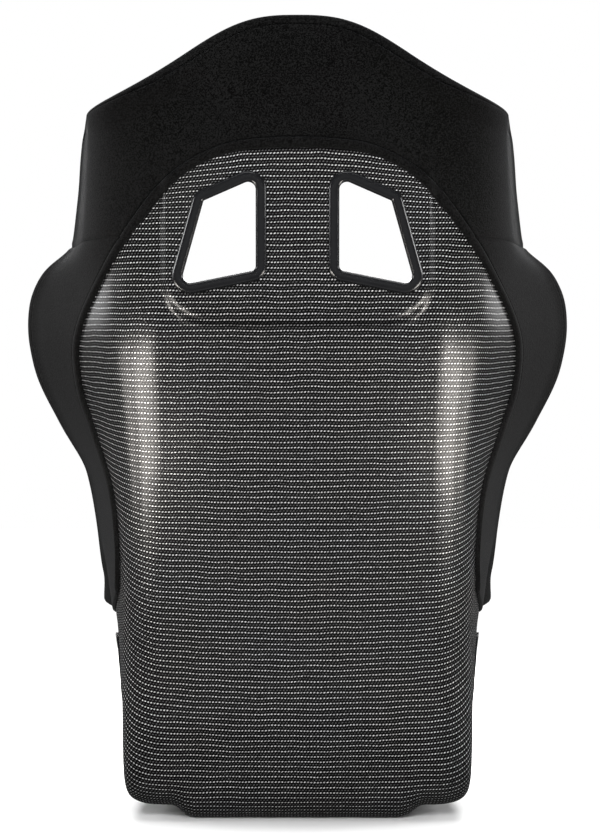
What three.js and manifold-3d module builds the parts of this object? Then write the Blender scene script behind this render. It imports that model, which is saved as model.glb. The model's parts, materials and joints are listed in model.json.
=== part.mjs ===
// A racing seat: a carbon-fibre bucket shell with fabric covers, pads, loose cushions and belt slots.
// Millimetres, +Z up. The seat faces -Y, so its back faces +Y, and it stands on the keel under the pan.

import * as THREE from 'three';
import { mergeVertices } from 'three/addons/utils/BufferGeometryUtils.js';
import Module from 'manifold-3d';

const wasm = await Module();
wasm.setup();

// ---------------------------------------------------------------------------------------------
// Driving dimensions
// ---------------------------------------------------------------------------------------------

const GAP = 0.3; // air between pieces that touch

// Shell, side view
const SHELL_THICKNESS = 4;
const KEEL_DEPTH = 14; // how far the keel stands below the pan
const PAN_FLAT_LENGTH = 306; // flat part of the pan, fore and aft
const LIP_RISE = 88; // height of the front lip above the pan
const LIP_REACH = 92; // how far the lip lies ahead of the flat part
const CORNER_RADIUS = 60; // pan to back, side view
const BACK_LEAN = 13; // degrees from upright
const BACK_HEIGHT = 491; // straight part of the back, up to the belt plateau
const PLATEAU_LEAN = 5; // degrees from upright
const PLATEAU_HEIGHT = 177; // straight part that carries the belt slots
const HEAD_HEIGHT = 136; // from the belt plateau to the top edge

// Shell, seen from behind
const FLAT_HALF = 150; // half-width of the flat middle of every section
const MOUNT_HALF = 198; // half-width over the side-mount faces
const HIP_HALF = 211; // half-width of the sides above the mount faces
const SHOULDER_HALF = 309; // half-width over the shoulder wings
const HEAD_HALF = 239; // half-width over the head wings
const CORNER_FALL = 48; // how far the flat part falls forward where it turns into the side
const PAN_CORNER_FALL = 34; // the same under the pan
const BACK_CAMBER = 7; // how far the flat middle bows out
const HEAD_DROP = 146; // how far the head's top edge would fall in all, far out to the side
const HEAD_BEND = 153.5; // half-width at which the top edge has fallen by half of that
const HEAD_BULGE = 2.85; // how sharply the top edge bends there

// Raised parts of the shell
const PLATEAU_HALF = 151;
const PLATEAU_CORNER = 46;
const PLATEAU_RAISE = 9;
const PLATEAU_STEP = 13; // width of the step round the plateau
const KEEL_HALF = 145;
const KEEL_STEP = 27;
const KEEL_LENGTH = 212;

// Covers
const FLAP_THICKNESS = 3.4; // fabric with thin foam on the back of the shell
const ROLL_THICKNESS = 6; // padding round the edge
const ROLL_LIP = 24; // how far the edge padding reaches inside
const HEM_BELOW_PLATEAU_TOP = 6; // top of the hem on the back
const TONGUE_HEIGHT = 216; // lower end of the shoulder covers, at the edge
const SEAM_ABOVE_PLATEAU_FOOT = 80; // seam between head cover and shoulder covers, at the edge

// Pads and cushions
const BOLSTER_THICKNESS = 30;
const THIGH_PAD_THICKNESS = 13;
const HEAD_PAD_THICKNESS = 30;
const WING_PAD_THICKNESS = 22;
const BACK_CUSHION_THICKNESS = 34;
const SEAT_CUSHION_THICKNESS = 44;
const PAD_EDGE = 7; // thickness of a pad at its seam

// Belt slots
const BEZEL_FACE = 11.7; // width of the frame round a shoulder-belt slot
const BEZEL_RISE = 4.6;
const BEZEL_WALL = 3; // wall of the collar that lines the slot
const BEZEL_CHAMFER = 1.3;
const TRIM_BEZEL_RISE = 3;
const LAP_SLOT_LENGTH = 84;
const LAP_SLOT_HEIGHT = 40;
const CROTCH_SLOT_WIDTH = 96;
const CROTCH_SLOT_LENGTH = 34;
const SMALL_BEZEL_FACE = 9;

// Fixings
const MOUNT_SPACING = 290; // between the bolts of one side
const MOUNT_HEIGHT = 88;
const MOUNT_REAR = 66; // rear bolt ahead of the back's foot
const INSERT_BARREL_RADIUS = 6.5;
const INSERT_FLANGE_RADIUS = 13;
const INSERT_FLANGE_THICKNESS = 2;
const BOLT_BORE_RADIUS = 4;
const PLATE_THICKNESS = 2.5;
const PLATE_HEIGHT = 40;
const PLATE_MARGIN = 20; // plate beyond each bolt
const STRIP_WIDTH = 50;
const SEAT_STRIP_WIDTH = 18;
const STRIP_LENGTH = 150;
const STRIP_THICKNESS = 1.4;

// Rubber trim on the bare edge
const TRIM_WALL = 2;
const TRIM_LIP = 9;

// ---------------------------------------------------------------------------------------------
// Small tools
// ---------------------------------------------------------------------------------------------

const rad = THREE.MathUtils.degToRad;
const clamp = THREE.MathUtils.clamp;
const lerp = THREE.MathUtils.lerp;
const smooth = (x, from, to) => THREE.MathUtils.smoothstep(x, from, to);

function steps(from, to, count) {
  return Array.from({ length: count + 1 }, (_, i) => lerp(from, to, i / count));
}

// Monotone cubic through the knots, carried on straight past both ends.
function monotoneCurve(xs, ys) {
  const n = xs.length;
  const secant = xs.slice(1).map((x, i) => (ys[i + 1] - ys[i]) / (x - xs[i]));
  const slope = xs.map((_, i) => {
    if (i === 0) return secant[0];
    if (i === n - 1) return secant[n - 2];
    if (secant[i - 1] * secant[i] <= 0) return 0;
    return (2 * secant[i - 1] * secant[i]) / (secant[i - 1] + secant[i]);
  });
  return (x) => {
    if (x <= xs[0]) return ys[0] + slope[0] * (x - xs[0]);
    if (x >= xs[n - 1]) return ys[n - 1] + slope[n - 1] * (x - xs[n - 1]);
    let i = 0;
    while (x > xs[i + 1]) i += 1;
    const h = xs[i + 1] - xs[i];
    const t = (x - xs[i]) / h;
    const a = (1 + 2 * t) * (1 - t) * (1 - t) * ys[i];
    const b = t * (1 - t) * (1 - t) * h * slope[i];
    const c = t * t * (3 - 2 * t) * ys[i + 1];
    const d = t * t * (t - 1) * h * slope[i + 1];
    return a + b + c + d;
  };
}

// A short moving average, so that highlights run across the knots without a kink.
const SOFTEN_REACH = 15;
const SOFTEN_WEIGHTS = [1, 2, 3, 4, 3, 2, 1];
const SOFTEN_TOTAL = 16;

function softened(curve) {
  return (x) => {
    const sum = SOFTEN_WEIGHTS.reduce((total, weight, k) => total + weight * curve(x + ((k - 3) * SOFTEN_REACH) / 3), 0);
    return sum / SOFTEN_TOTAL;
  };
}

// ---------------------------------------------------------------------------------------------
// The shell's outer face
// ---------------------------------------------------------------------------------------------

// Side view of the middle line, as [y, z]. The back's foot is at y = 0.
const PAN_Z = KEEL_DEPTH;
const lean = rad(BACK_LEAN);
const plateauLean = rad(PLATEAU_LEAN);
const panRearY = -CORNER_RADIUS * Math.cos(lean);
const panFrontY = panRearY - PAN_FLAT_LENGTH;

function cornerPoint(turn) {
  const angle = turn * (Math.PI / 2 - lean);
  return [panRearY + CORNER_RADIUS * Math.sin(angle), PAN_Z + CORNER_RADIUS * (1 - Math.cos(angle))];
}

const foot = cornerPoint(1);

function upFrom(start, angle, height) {
  return [start[0] + height * Math.tan(angle), start[1] + height];
}

const backTop = upFrom(foot, lean, BACK_HEIGHT);
const plateauFoot = upFrom(backTop, (lean + plateauLean) / 2, 20);
const plateauTop = upFrom(plateauFoot, plateauLean, PLATEAU_HEIGHT);

// Stations from the front lip to the top of the head. `mid` is the point [y, z] on the middle line, and the rim
// of the side lies `ahead` of it and `above` it. `side` is the half-width where the side wall starts, `edge` the
// half-width at the rim.
const pan = (share) => [panFrontY - LIP_REACH * share[0], PAN_Z + LIP_RISE * share[1]];
const back = (share) => upFrom(foot, lean, share * BACK_HEIGHT);
const plateau = (share) => upFrom(plateauFoot, plateauLean, share * PLATEAU_HEIGHT);
const head = (share, leanShare) => upFrom(plateauTop, plateauLean * leanShare, share * HEAD_HEIGHT);
const panMiddle = [lerp(panFrontY, panRearY, 0.5), PAN_Z];

const STATIONS = [
  { mid: pan([1, 1]), ahead: -32, above: 68, side: MOUNT_HALF, edge: HIP_HALF - 10 },
  { mid: pan([0.62, 0.66]), ahead: -26, above: 129, side: MOUNT_HALF, edge: HIP_HALF - 6 },
  { mid: pan([0.28, 0.22]), ahead: -28, above: 186, side: MOUNT_HALF, edge: HIP_HALF - 2 },
  { mid: [panFrontY, PAN_Z], ahead: -40, above: 213, side: MOUNT_HALF, edge: HIP_HALF },
  { mid: panMiddle, ahead: 34, above: 216, side: MOUNT_HALF, edge: HIP_HALF },
  { mid: cornerPoint(0), ahead: 125, above: 224, side: MOUNT_HALF, edge: HIP_HALF + 1 },
  { mid: cornerPoint(0.5), ahead: 131, above: 231, side: MOUNT_HALF, edge: HIP_HALF + 6 },
  { mid: foot, ahead: 134, above: 229, side: MOUNT_HALF, edge: HIP_HALF + 13 },
  { mid: back(0.25), ahead: 149, above: 158, side: MOUNT_HALF, edge: SHOULDER_HALF - 79 },
  { mid: back(0.5), ahead: 171, above: 92, side: MOUNT_HALF + 5, edge: SHOULDER_HALF - 68 },
  { mid: back(0.72), ahead: 194, above: 44, side: MOUNT_HALF + 20, edge: SHOULDER_HALF - 35 },
  { mid: back(0.9), ahead: 212, above: 20, side: MOUNT_HALF + 40, edge: SHOULDER_HALF - 6 },
  { mid: backTop, ahead: 216, above: 14, side: MOUNT_HALF + 49, edge: SHOULDER_HALF },
  { mid: plateauFoot, ahead: 212, above: 16, side: MOUNT_HALF + 50, edge: SHOULDER_HALF - 2 },
  { mid: plateau(0.25), ahead: 186, above: 8, side: MOUNT_HALF + 46, edge: SHOULDER_HALF - 21 },
  { mid: plateau(0.45), ahead: 178, above: 1, side: HEAD_HALF - 1, edge: HEAD_HALF + 15 },
  { mid: plateau(0.7), ahead: 195, above: -2, side: HEAD_HALF - 5, edge: HEAD_HALF + 11 },
  { mid: plateauTop, ahead: 215, above: -20, side: HEAD_HALF - 7, edge: HEAD_HALF + 9 },
  { mid: head(0.4, 0.6), ahead: 219, above: -40, side: HEAD_HALF - 9, edge: HEAD_HALF + 7 },
  { mid: head(0.75, 0), ahead: 205, above: -70, side: HEAD_HALF - 10, edge: HEAD_HALF + 4 },
  { mid: head(1, -1), ahead: 166, above: -99, side: HEAD_HALF - 12, edge: HEAD_HALF },
];

const runs = STATIONS.reduce((list, station, i) => {
  if (i === 0) return [0];
  const before = STATIONS[i - 1].mid;
  return [...list, list[i - 1] + Math.hypot(station.mid[0] - before[0], station.mid[1] - before[1])];
}, []);
const RUN_END = runs[runs.length - 1];

function stationCurve(pick) {
  return softened(monotoneCurve(runs, STATIONS.map(pick)));
}

const midY = stationCurve((s) => s.mid[0]);
const midZ = stationCurve((s) => s.mid[1]);
const rimY = stationCurve((s) => s.mid[0] - s.ahead);
const rimZ = stationCurve((s) => s.mid[1] + s.above);
const sideX = stationCurve((s) => s.side);
const edgeX = stationCurve((s) => s.edge);

// Distance along the middle line where a value that rises with it reaches a target.
function runWhere(rising, target, from = 0, to = RUN_END) {
  let low = from;
  let high = to;
  for (let i = 0; i < 40; i += 1) {
    const middle = (low + high) / 2;
    if (rising(middle) < target) low = middle;
    else high = middle;
  }
  return (low + high) / 2;
}

const RUN_PAN_FRONT = runs[3];
const RUN_CORNER = runs[5];
const RUN_FOOT = runs[7];
const RUN_BACK_TOP = runs[12];
const RUN_PLATEAU_TOP = runs[17];
const runAtHeight = (z) => runWhere(midZ, z, RUN_CORNER);
const runAtRimHeight = (z) => runWhere(rimZ, z, RUN_CORNER);
const runAtDepth = (y) => runWhere(midY, y, 0, RUN_CORNER);

function headSag(x, run) {
  const share = clamp((run - runs[15]) / (RUN_END - runs[15]), 0, 1) ** 1.5;
  const out = (Math.abs(x) / HEAD_BEND) ** HEAD_BULGE;
  return (share * HEAD_DROP * out) / (1 + out);
}

const sectionCache = new Map();

function sectionAt(run) {
  if (!sectionCache.has(run)) sectionCache.set(run, makeSection(run));
  return sectionCache.get(run);
}

function makeSection(run) {
  const mid = new THREE.Vector2(midY(run), midZ(run));
  const rim = new THREE.Vector2(rimY(run), rimZ(run));
  const up = new THREE.Vector2(midY(run + 1) - mid.x, midZ(run + 1) - mid.y).normalize();
  const depth = rim.distanceTo(mid);
  const side = sideX(run);
  const edge = edgeX(run);
  const width = side - FLAT_HALF;
  const straight = smooth(run, RUN_CORNER, runs[8]); // 0 where the wall steps out, 1 where it is straight
  const camber = BACK_CAMBER * straight * (1 - smooth(run, runs[10], RUN_BACK_TOP));
  const cornerFall = lerp(PAN_CORNER_FALL, CORNER_FALL, straight);
  const fall = Math.min(cornerFall * (width / (MOUNT_HALF - FLAT_HALF)), depth / 2);
  const wallStart = camber + fall;
  const wall = new THREE.Vector2(straight * (edge - side), depth - wallStart).normalize();
  const camberSlope = (2 * camber) / FLAT_HALF;
  const handle = lerp(0.75, 0.55, straight);
  const corner = new THREE.CubicBezierCurve(
    new THREE.Vector2(FLAT_HALF, camber),
    new THREE.Vector2(FLAT_HALF + handle * width, camber + handle * width * camberSlope),
    new THREE.Vector2(side - handle * fall * wall.x, wallStart - handle * fall * wall.y),
    new THREE.Vector2(side, wallStart),
  );
  return { mid, rim, up, depth, side, edge, camber, wallStart, straight, corner };
}

// A section runs from u = 0 in the middle to 1 at the end of the flat part, 2 where the wall starts and 3 at
// the rim. The result is the half-width and how deep the point lies between the middle line and the rim.
const WALL_STEP = [0.34, 0.62]; // share of the wall over which the hips step out past the mount faces
const RIM_STEP = [0.78, 1]; // share over which they turn out to the rim
const HIP_STEP = 7.5; // how far the hips step out

function sectionPoint(section, u) {
  if (u <= 1) return [u * FLAT_HALF, section.camber * u * u];
  if (u <= 2) return section.corner.getPoint(u - 1).toArray();
  const t = u - 2;
  const { side, edge, straight } = section;
  const hip = (1 - straight) * Math.min(HIP_STEP, 0.6 * (edge - side));
  const turnOut = straight * t + (1 - straight) * smooth(t, ...RIM_STEP);
  const x = side + hip * smooth(t, ...WALL_STEP) + (edge - side - hip) * turnOut;
  return [x, lerp(section.wallStart, section.depth, t)];
}

function basePoint(run, u) {
  const section = sectionAt(run);
  const [x, d] = sectionPoint(section, Math.abs(u));
  const share = d / section.depth;
  const sag = headSag(x, run) - share * headSag(section.edge, run);
  const y = lerp(section.mid.x, section.rim.x, share) - sag * section.up.x;
  const z = lerp(section.mid.y, section.rim.y, share) - sag * section.up.y;
  return new THREE.Vector3(Math.sign(u) * x, y, z);
}

const PROBE_RUN = 1.5;
const PROBE_U = 0.02;

function baseNormal(run, u) {
  const along = basePoint(run + PROBE_RUN, u).sub(basePoint(run - PROBE_RUN, u));
  const limit = 3;
  const high = Math.min(u + PROBE_U, limit);
  const low = Math.max(u - PROBE_U, -limit);
  const across = basePoint(run, high).sub(basePoint(run, low));
  return across.cross(along).normalize().negate();
}

// How far the belt plateau and the keel stand proud of the base face.
function roundedBoxDistance(x, y, halfWidth, corner) {
  const qx = x - (halfWidth - corner);
  const qy = y + corner;
  return Math.hypot(Math.max(qx, 0), Math.max(qy, 0)) + Math.min(Math.max(qx, qy), 0) - corner;
}

const PLATEAU_BOTTOM = RUN_BACK_TOP - 2;

function raiseAt(point, run) {
  const x = Math.abs(point.x);
  const plateau = roundedBoxDistance(x, PLATEAU_BOTTOM - run, PLATEAU_HALF, PLATEAU_CORNER);
  const plateauFade = 1 - smooth(run, RUN_PLATEAU_TOP, RUN_PLATEAU_TOP + 60);
  const keelAcross = 1 - smooth(x, KEEL_HALF - KEEL_STEP, KEEL_HALF);
  const keelFront = smooth(run, RUN_CORNER - KEEL_LENGTH - KEEL_STEP, RUN_CORNER - KEEL_LENGTH);
  const keelRear = 1 - smooth(run, RUN_CORNER, RUN_FOOT);
  const raisedPlateau = PLATEAU_RAISE * (1 - smooth(plateau, -PLATEAU_STEP, 0)) * plateauFade;
  return raisedPlateau + KEEL_DEPTH * keelAcross * keelFront * keelRear;
}

// A point of the outer face, moved out along the normal by `off`.
function shellPoint(run, u, off = 0) {
  const point = basePoint(run, u);
  return point.addScaledVector(baseNormal(run, u), off + raiseAt(point, run));
}

// The same without the plateau and the keel, for what bridges them inside.
function plainPoint(run, u, off) {
  return basePoint(run, u).addScaledVector(baseNormal(run, u), off);
}

// ---------------------------------------------------------------------------------------------
// Closed bodies
// ---------------------------------------------------------------------------------------------

function signedVolume(points, faces) {
  return faces.reduce((sum, [a, b, c]) => sum + points[a].dot(points[b].clone().cross(points[c])), 0);
}

function closedGeometry(points, faces) {
  const turned = signedVolume(points, faces) < 0;
  const index = faces.flatMap(([a, b, c]) => (turned ? [a, c, b] : [a, b, c]));
  const geometry = new THREE.BufferGeometry();
  geometry.setAttribute('position', new THREE.Float32BufferAttribute(points.flatMap((p) => p.toArray()), 3));
  geometry.setIndex(index);
  return geometry;
}

// A plate between two grids of points with the same rows and columns.
function slab(outer, inner) {
  const rows = outer.length;
  const cols = outer[0].length;
  const points = [...outer.flat(), ...inner.flat()];
  const top = (i, j) => i * cols + j;
  const low = (i, j) => rows * cols + i * cols + j;
  const faces = [];
  const quad = (a, b, c, d) => faces.push([a, b, c], [a, c, d]);
  for (let i = 0; i < rows - 1; i += 1) {
    for (let j = 0; j < cols - 1; j += 1) {
      quad(top(i, j), top(i, j + 1), top(i + 1, j + 1), top(i + 1, j));
      quad(low(i, j), low(i + 1, j), low(i + 1, j + 1), low(i, j + 1));
    }
    quad(top(i + 1, 0), low(i + 1, 0), low(i, 0), top(i, 0));
    quad(top(i, cols - 1), low(i, cols - 1), low(i + 1, cols - 1), top(i + 1, cols - 1));
  }
  for (let j = 0; j < cols - 1; j += 1) {
    quad(top(0, j), low(0, j), low(0, j + 1), top(0, j + 1));
    quad(top(rows - 1, j + 1), low(rows - 1, j + 1), low(rows - 1, j), top(rows - 1, j));
  }
  return closedGeometry(points, faces);
}

// A tube through closed loops of points, capped at both ends.
function loft(loops) {
  const size = loops[0].length;
  const points = loops.flat();
  const faces = [];
  for (let i = 0; i < loops.length - 1; i += 1) {
    for (let j = 0; j < size; j += 1) {
      const next = (j + 1) % size;
      const a = i * size + j;
      const b = i * size + next;
      faces.push([a, b, b + size], [a, b + size, a + size]);
    }
  }
  [0, loops.length - 1].forEach((i) => {
    const centre = loops[i].reduce((sum, p) => sum.add(p), new THREE.Vector3()).divideScalar(size);
    const c = points.push(centre) - 1;
    for (let j = 0; j < size; j += 1) {
      const a = i * size + j;
      const b = i * size + ((j + 1) % size);
      faces.push(i === 0 ? [c, b, a] : [c, a, b]);
    }
  });
  return closedGeometry(points, faces);
}

function toSolid(geometry) {
  const bare = geometry.clone();
  bare.deleteAttribute('normal');
  bare.deleteAttribute('uv');
  const merged = mergeVertices(bare, 1e-4);
  const mesh = new wasm.Mesh({
    numProp: 3,
    vertProperties: new Float32Array(merged.attributes.position.array),
    triVerts: new Uint32Array(merged.index.array),
  });
  return new wasm.Manifold(mesh);
}

function toGeometry(solid) {
  const mesh = solid.getMesh();
  const geometry = new THREE.BufferGeometry();
  geometry.setAttribute('position', new THREE.Float32BufferAttribute(mesh.vertProperties, 3));
  geometry.setIndex(Array.from(mesh.triVerts));
  return geometry;
}

const cut = (solid, ...tools) => tools.reduce((rest, tool) => rest.subtract(tool), solid);
const join = (first, ...others) => others.reduce((sum, other) => sum.add(other), first);

// ---------------------------------------------------------------------------------------------
// Outlines
// ---------------------------------------------------------------------------------------------

// Rounded polygon, drawn in by `inset`. Corners go round one way, each as [x, y, radius].
const ARC_STEPS = 3;

function roundedOutline(corners, inset = 0) {
  const n = corners.length;
  const at = (i) => new THREE.Vector2(...corners[(i + n) % n].slice(0, 2));
  const area = corners.reduce((sum, _, i) => sum + at(i).cross(at(i + 1)), 0);
  const turn = Math.sign(area);
  const points = [];
  for (let i = 0; i < n; i += 1) {
    const before = at(i).sub(at(i - 1)).normalize();
    const after = at(i + 1).sub(at(i)).normalize();
    const inwardBefore = new THREE.Vector2(-before.y, before.x).multiplyScalar(turn);
    const inwardAfter = new THREE.Vector2(-after.y, after.x).multiplyScalar(turn);
    const bisector = inwardBefore.clone().add(inwardAfter).normalize();
    const reach = 1 / bisector.dot(inwardBefore);
    const centre = at(i).addScaledVector(bisector, corners[i][2] * reach);
    const radius = Math.max(corners[i][2] - inset, 0.5);
    const shift = inset + radius - corners[i][2];
    const middle = centre.addScaledVector(bisector, shift * reach);
    const start = Math.atan2(-inwardBefore.y, -inwardBefore.x);
    const sweep = Math.atan2(inwardBefore.cross(inwardAfter), inwardBefore.dot(inwardAfter));
    steps(start, start + sweep, ARC_STEPS).forEach((angle) => {
      points.push(new THREE.Vector2(middle.x + radius * Math.cos(angle), middle.y + radius * Math.sin(angle)));
    });
  }
  return turn > 0 ? points : points.reverse();
}

function roundedBoxCorners(halfWidth, halfHeight, radius) {
  return [
    [halfWidth, halfHeight, radius],
    [-halfWidth, halfHeight, radius],
    [-halfWidth, -halfHeight, radius],
    [halfWidth, -halfHeight, radius],
  ];
}

function prism(outline, depth) {
  return new THREE.ExtrudeGeometry(new THREE.Shape(outline), { depth, bevelEnabled: false });
}

// A frame whose local x, y and z are the given directions, at the given origin.
function frameAt(origin, xAxis, yAxis, zAxis) {
  return new THREE.Matrix4().makeBasis(xAxis, yAxis, zAxis).setPosition(origin);
}

// ---------------------------------------------------------------------------------------------
// Shell
// ---------------------------------------------------------------------------------------------

const FLAT_COLUMNS = [0, 46, 92, PLATEAU_HALF - 33, PLATEAU_HALF - PLATEAU_STEP, FLAT_HALF].map((x) => x / FLAT_HALF);
const CORNER_COLUMNS = [1.25, 1.5, 1.75, 2];
const WALL_COLUMNS = [2.34, 2.48, 2.62, 3];
const HALF_COLUMNS = [...FLAT_COLUMNS, ...CORNER_COLUMNS, ...WALL_COLUMNS];
const COLUMNS = [...HALF_COLUMNS.slice(1).reverse().map((u) => -u), ...HALF_COLUMNS];

const ROWS = [
  ...steps(0, RUN_PAN_FRONT, 4),
  RUN_CORNER - KEEL_LENGTH - KEEL_STEP,
  ...steps(RUN_CORNER - KEEL_LENGTH, RUN_CORNER, 3),
  ...steps(RUN_CORNER, RUN_FOOT, 4).slice(1),
  ...steps(RUN_FOOT, PLATEAU_BOTTOM, 7).slice(1),
  ...steps(PLATEAU_BOTTOM, PLATEAU_BOTTOM + PLATEAU_STEP, 2).slice(1),
  ...steps(PLATEAU_BOTTOM + PLATEAU_STEP, PLATEAU_BOTTOM + 60, 3).slice(1),
  ...steps(PLATEAU_BOTTOM + 60, RUN_PLATEAU_TOP, 4).slice(1),
  ...steps(RUN_PLATEAU_TOP, RUN_END, 5).slice(1),
];

function faceGrid(rows, columns, off, place = shellPoint) {
  return rows.map((run) => columns.map((u) => place(run, u, off)));
}

// A point on the faceted face rather than on the smooth one, for what lies on the faces.
function cellOf(lines, value) {
  let i = 0;
  while (i < lines.length - 2 && value > lines[i + 1]) i += 1;
  return [i, (value - lines[i]) / (lines[i + 1] - lines[i])];
}

function facePoint(run, u, off) {
  const [i, a] = cellOf(ROWS, run);
  const [j, b] = cellOf(COLUMNS, u);
  const corner = (di, dj) => shellPoint(ROWS[i + di], COLUMNS[j + dj], off);
  const lower = corner(0, 0).lerp(corner(0, 1), b);
  const upper = corner(1, 0).lerp(corner(1, 1), b);
  return lower.lerp(upper, a);
}

// The shell's skin between two offsets.
function skin(outerOff, innerOff, rows = ROWS, columns = COLUMNS) {
  return slab(faceGrid(rows, columns, outerOff), faceGrid(rows, columns, innerOff));
}

// A step of the given length away from the inner line, square to the edge.
function outwardStep(edge, inner, k, length) {
  const along = edge[Math.min(k + 1, edge.length - 1)].clone().sub(edge[Math.max(k - 1, 0)]).normalize();
  const out = edge[k].clone().sub(inner[k]);
  return out.addScaledVector(along, -out.dot(along)).setLength(length);
}

// The same, carried on past the rims of the sides and past the first and last row.
function grownSkin(outerOff, innerOff, beyond) {
  const grids = [faceGrid(ROWS, COLUMNS, outerOff), faceGrid(ROWS, COLUMNS, innerOff)];
  grids.forEach((grid) => {
    const last = grid.length - 1;
    const end = grid[0].length - 1;
    const column = (j) => grid.map((row) => row[j]);
    const pushed = [
      [column(0), column(1), (i, point) => grid[i][0].add(point)],
      [column(end), column(end - 1), (i, point) => grid[i][end].add(point)],
      [grid[0], grid[1], (j, point) => grid[0][j].add(point)],
      [grid[last], grid[last - 1], (j, point) => grid[last][j].add(point)],
    ];
    const moves = pushed.map(([edge, inner]) => edge.map((point, k) => outwardStep(edge, inner, k, beyond)));
    pushed.forEach(([, , apply], k) => moves[k].forEach((move, i) => apply(i, move)));
  });
  return slab(...grids);
}

// What a touching piece must leave free: the shell with an air gap all round. For a pad on the inner face it
// also takes in the space outside the shell.
const BEHIND_PADS = 10;
const shellClearance = toSolid(grownSkin(GAP, -SHELL_THICKNESS - GAP, 3 * GAP));
const padClearance = toSolid(grownSkin(BEHIND_PADS, -SHELL_THICKNESS - GAP, 3 * GAP));

// Belt plateau: the flat face that carries the shoulder-belt bezels.
const plateauOrigin = basePoint(runs[13], 0);
const plateauUp = new THREE.Vector3(0, Math.sin(plateauLean), Math.cos(plateauLean));
const plateauOut = new THREE.Vector3(0, Math.cos(plateauLean), -Math.sin(plateauLean));

// Shoulder-belt slot: corners of the frame's outer outline on the plateau, [out from the middle, up, radius].
// Heights are measured up the plateau from its foot.
const SHOULDER_SLOT = [
  [33.5, 158, 20],
  [33.5, 31, 17],
  [144, 9, 20],
  [111.5, 124, 14],
];

function plateauFrame(lift) {
  const origin = plateauOrigin.clone().addScaledVector(plateauOut, PLATEAU_RAISE + lift);
  return frameAt(origin, new THREE.Vector3(-1, 0, 0), plateauUp, plateauOut);
}

function shoulderOutline(sideSign, inset) {
  return roundedOutline(SHOULDER_SLOT.map(([x, y, radius]) => [-sideSign * x, y, radius]), inset);
}

const SLOT_INSET = BEZEL_FACE - BEZEL_WALL - GAP;

function shoulderSlotCutter(sideSign) {
  const reach = 60;
  return toSolid(prism(shoulderOutline(sideSign, SLOT_INSET), reach).applyMatrix4(plateauFrame(-reach / 2)));
}

// Lap-belt slots, through the side walls at the hips; crotch-belt slot, through the pan.
const LAP_SLOT_CENTRE = [-108, 166]; // [y, z]
const LAP_SLOT_TILT = 35; // degrees, front end up
const lapCorners = (grow) => roundedBoxCorners(
  LAP_SLOT_LENGTH / 2 + grow,
  LAP_SLOT_HEIGHT / 2 + grow,
  LAP_SLOT_HEIGHT / 2 + grow - 2,
);
const CROTCH_SLOT_Y = panFrontY + 34;
const crotchCorners = (grow) => roundedBoxCorners(
  CROTCH_SLOT_WIDTH / 2 + grow,
  CROTCH_SLOT_LENGTH / 2 + grow,
  CROTCH_SLOT_LENGTH / 2 + grow - 2,
);

function lapFrame(sideSign, fromX) {
  const tilt = rad(LAP_SLOT_TILT);
  const along = new THREE.Vector3(0, -Math.cos(tilt), Math.sin(tilt));
  const out = new THREE.Vector3(sideSign, 0, 0);
  const up = out.clone().cross(along);
  const origin = new THREE.Vector3(sideSign * fromX, LAP_SLOT_CENTRE[0], LAP_SLOT_CENTRE[1]);
  return frameAt(origin, along, up, out);
}

const LAP_PRISM_FROM = MOUNT_HALF - 50;
const LAP_PRISM_DEPTH = 110;

function lapPrism(sideSign, grow) {
  return toSolid(prism(roundedOutline(lapCorners(grow)), LAP_PRISM_DEPTH).applyMatrix4(lapFrame(sideSign, LAP_PRISM_FROM)));
}

function crotchPrism(grow) {
  const reach = SEAT_CUSHION_THICKNESS + 40;
  const origin = new THREE.Vector3(0, CROTCH_SLOT_Y, PAN_Z - reach / 2);
  const frame = frameAt(origin, new THREE.Vector3(1, 0, 0), new THREE.Vector3(0, 1, 0), new THREE.Vector3(0, 0, 1));
  return toSolid(prism(roundedOutline(crotchCorners(grow)), 2 * reach).applyMatrix4(frame));
}

// Side-mount bolts
const MOUNT_YS = [-MOUNT_REAR, -MOUNT_REAR - MOUNT_SPACING];

function sideways(geometry, sideSign, x, y, z) {
  return geometry.rotateZ(-sideSign * Math.PI / 2).translate(sideSign * x, y, z);
}

function mountBore(sideSign, y) {
  const bore = new THREE.CylinderGeometry(INSERT_BARREL_RADIUS + GAP, INSERT_BARREL_RADIUS + GAP, 40, 12);
  return toSolid(sideways(bore, sideSign, MOUNT_HALF, y, MOUNT_HEIGHT));
}

const SIDES = [['left', 1], ['right', -1]];

function makeShell() {
  const body = toSolid(skin(0, -SHELL_THICKNESS));
  const cutters = SIDES.flatMap(([, sign]) => [
    shoulderSlotCutter(sign),
    lapPrism(sign, BEZEL_WALL + GAP),
    ...MOUNT_YS.map((y) => mountBore(sign, y)),
  ]);
  return cut(body, ...cutters, crotchPrism(BEZEL_WALL + GAP));
}

// ---------------------------------------------------------------------------------------------
// Edge covers and rubber trim
// ---------------------------------------------------------------------------------------------

// Frames along the shell's edge: the middle of its thickness, the way out past the edge, and the face normal.
const EDGE_INSET = 0.02;

function edgeFrames(path) {
  const points = path.map(([run, u]) => shellPoint(run, u, -SHELL_THICKNESS / 2));
  return path.map(([run, u], i) => {
    const before = points[Math.max(i - 1, 0)];
    const after = points[Math.min(i + 1, points.length - 1)];
    const tangent = after.clone().sub(before).normalize();
    const normal = baseNormal(run, u);
    const inside = shellPoint(
      clamp(run, RUN_END * EDGE_INSET, RUN_END * (1 - EDGE_INSET)),
      clamp(u, -3 + EDGE_INSET, 3 - EDGE_INSET),
      -SHELL_THICKNESS / 2,
    );
    const away = new THREE.Vector3().crossVectors(tangent, normal).normalize();
    if (away.dot(points[i].clone().sub(inside)) < 0) away.negate();
    return { point: points[i], away, normal };
  });
}

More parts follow.
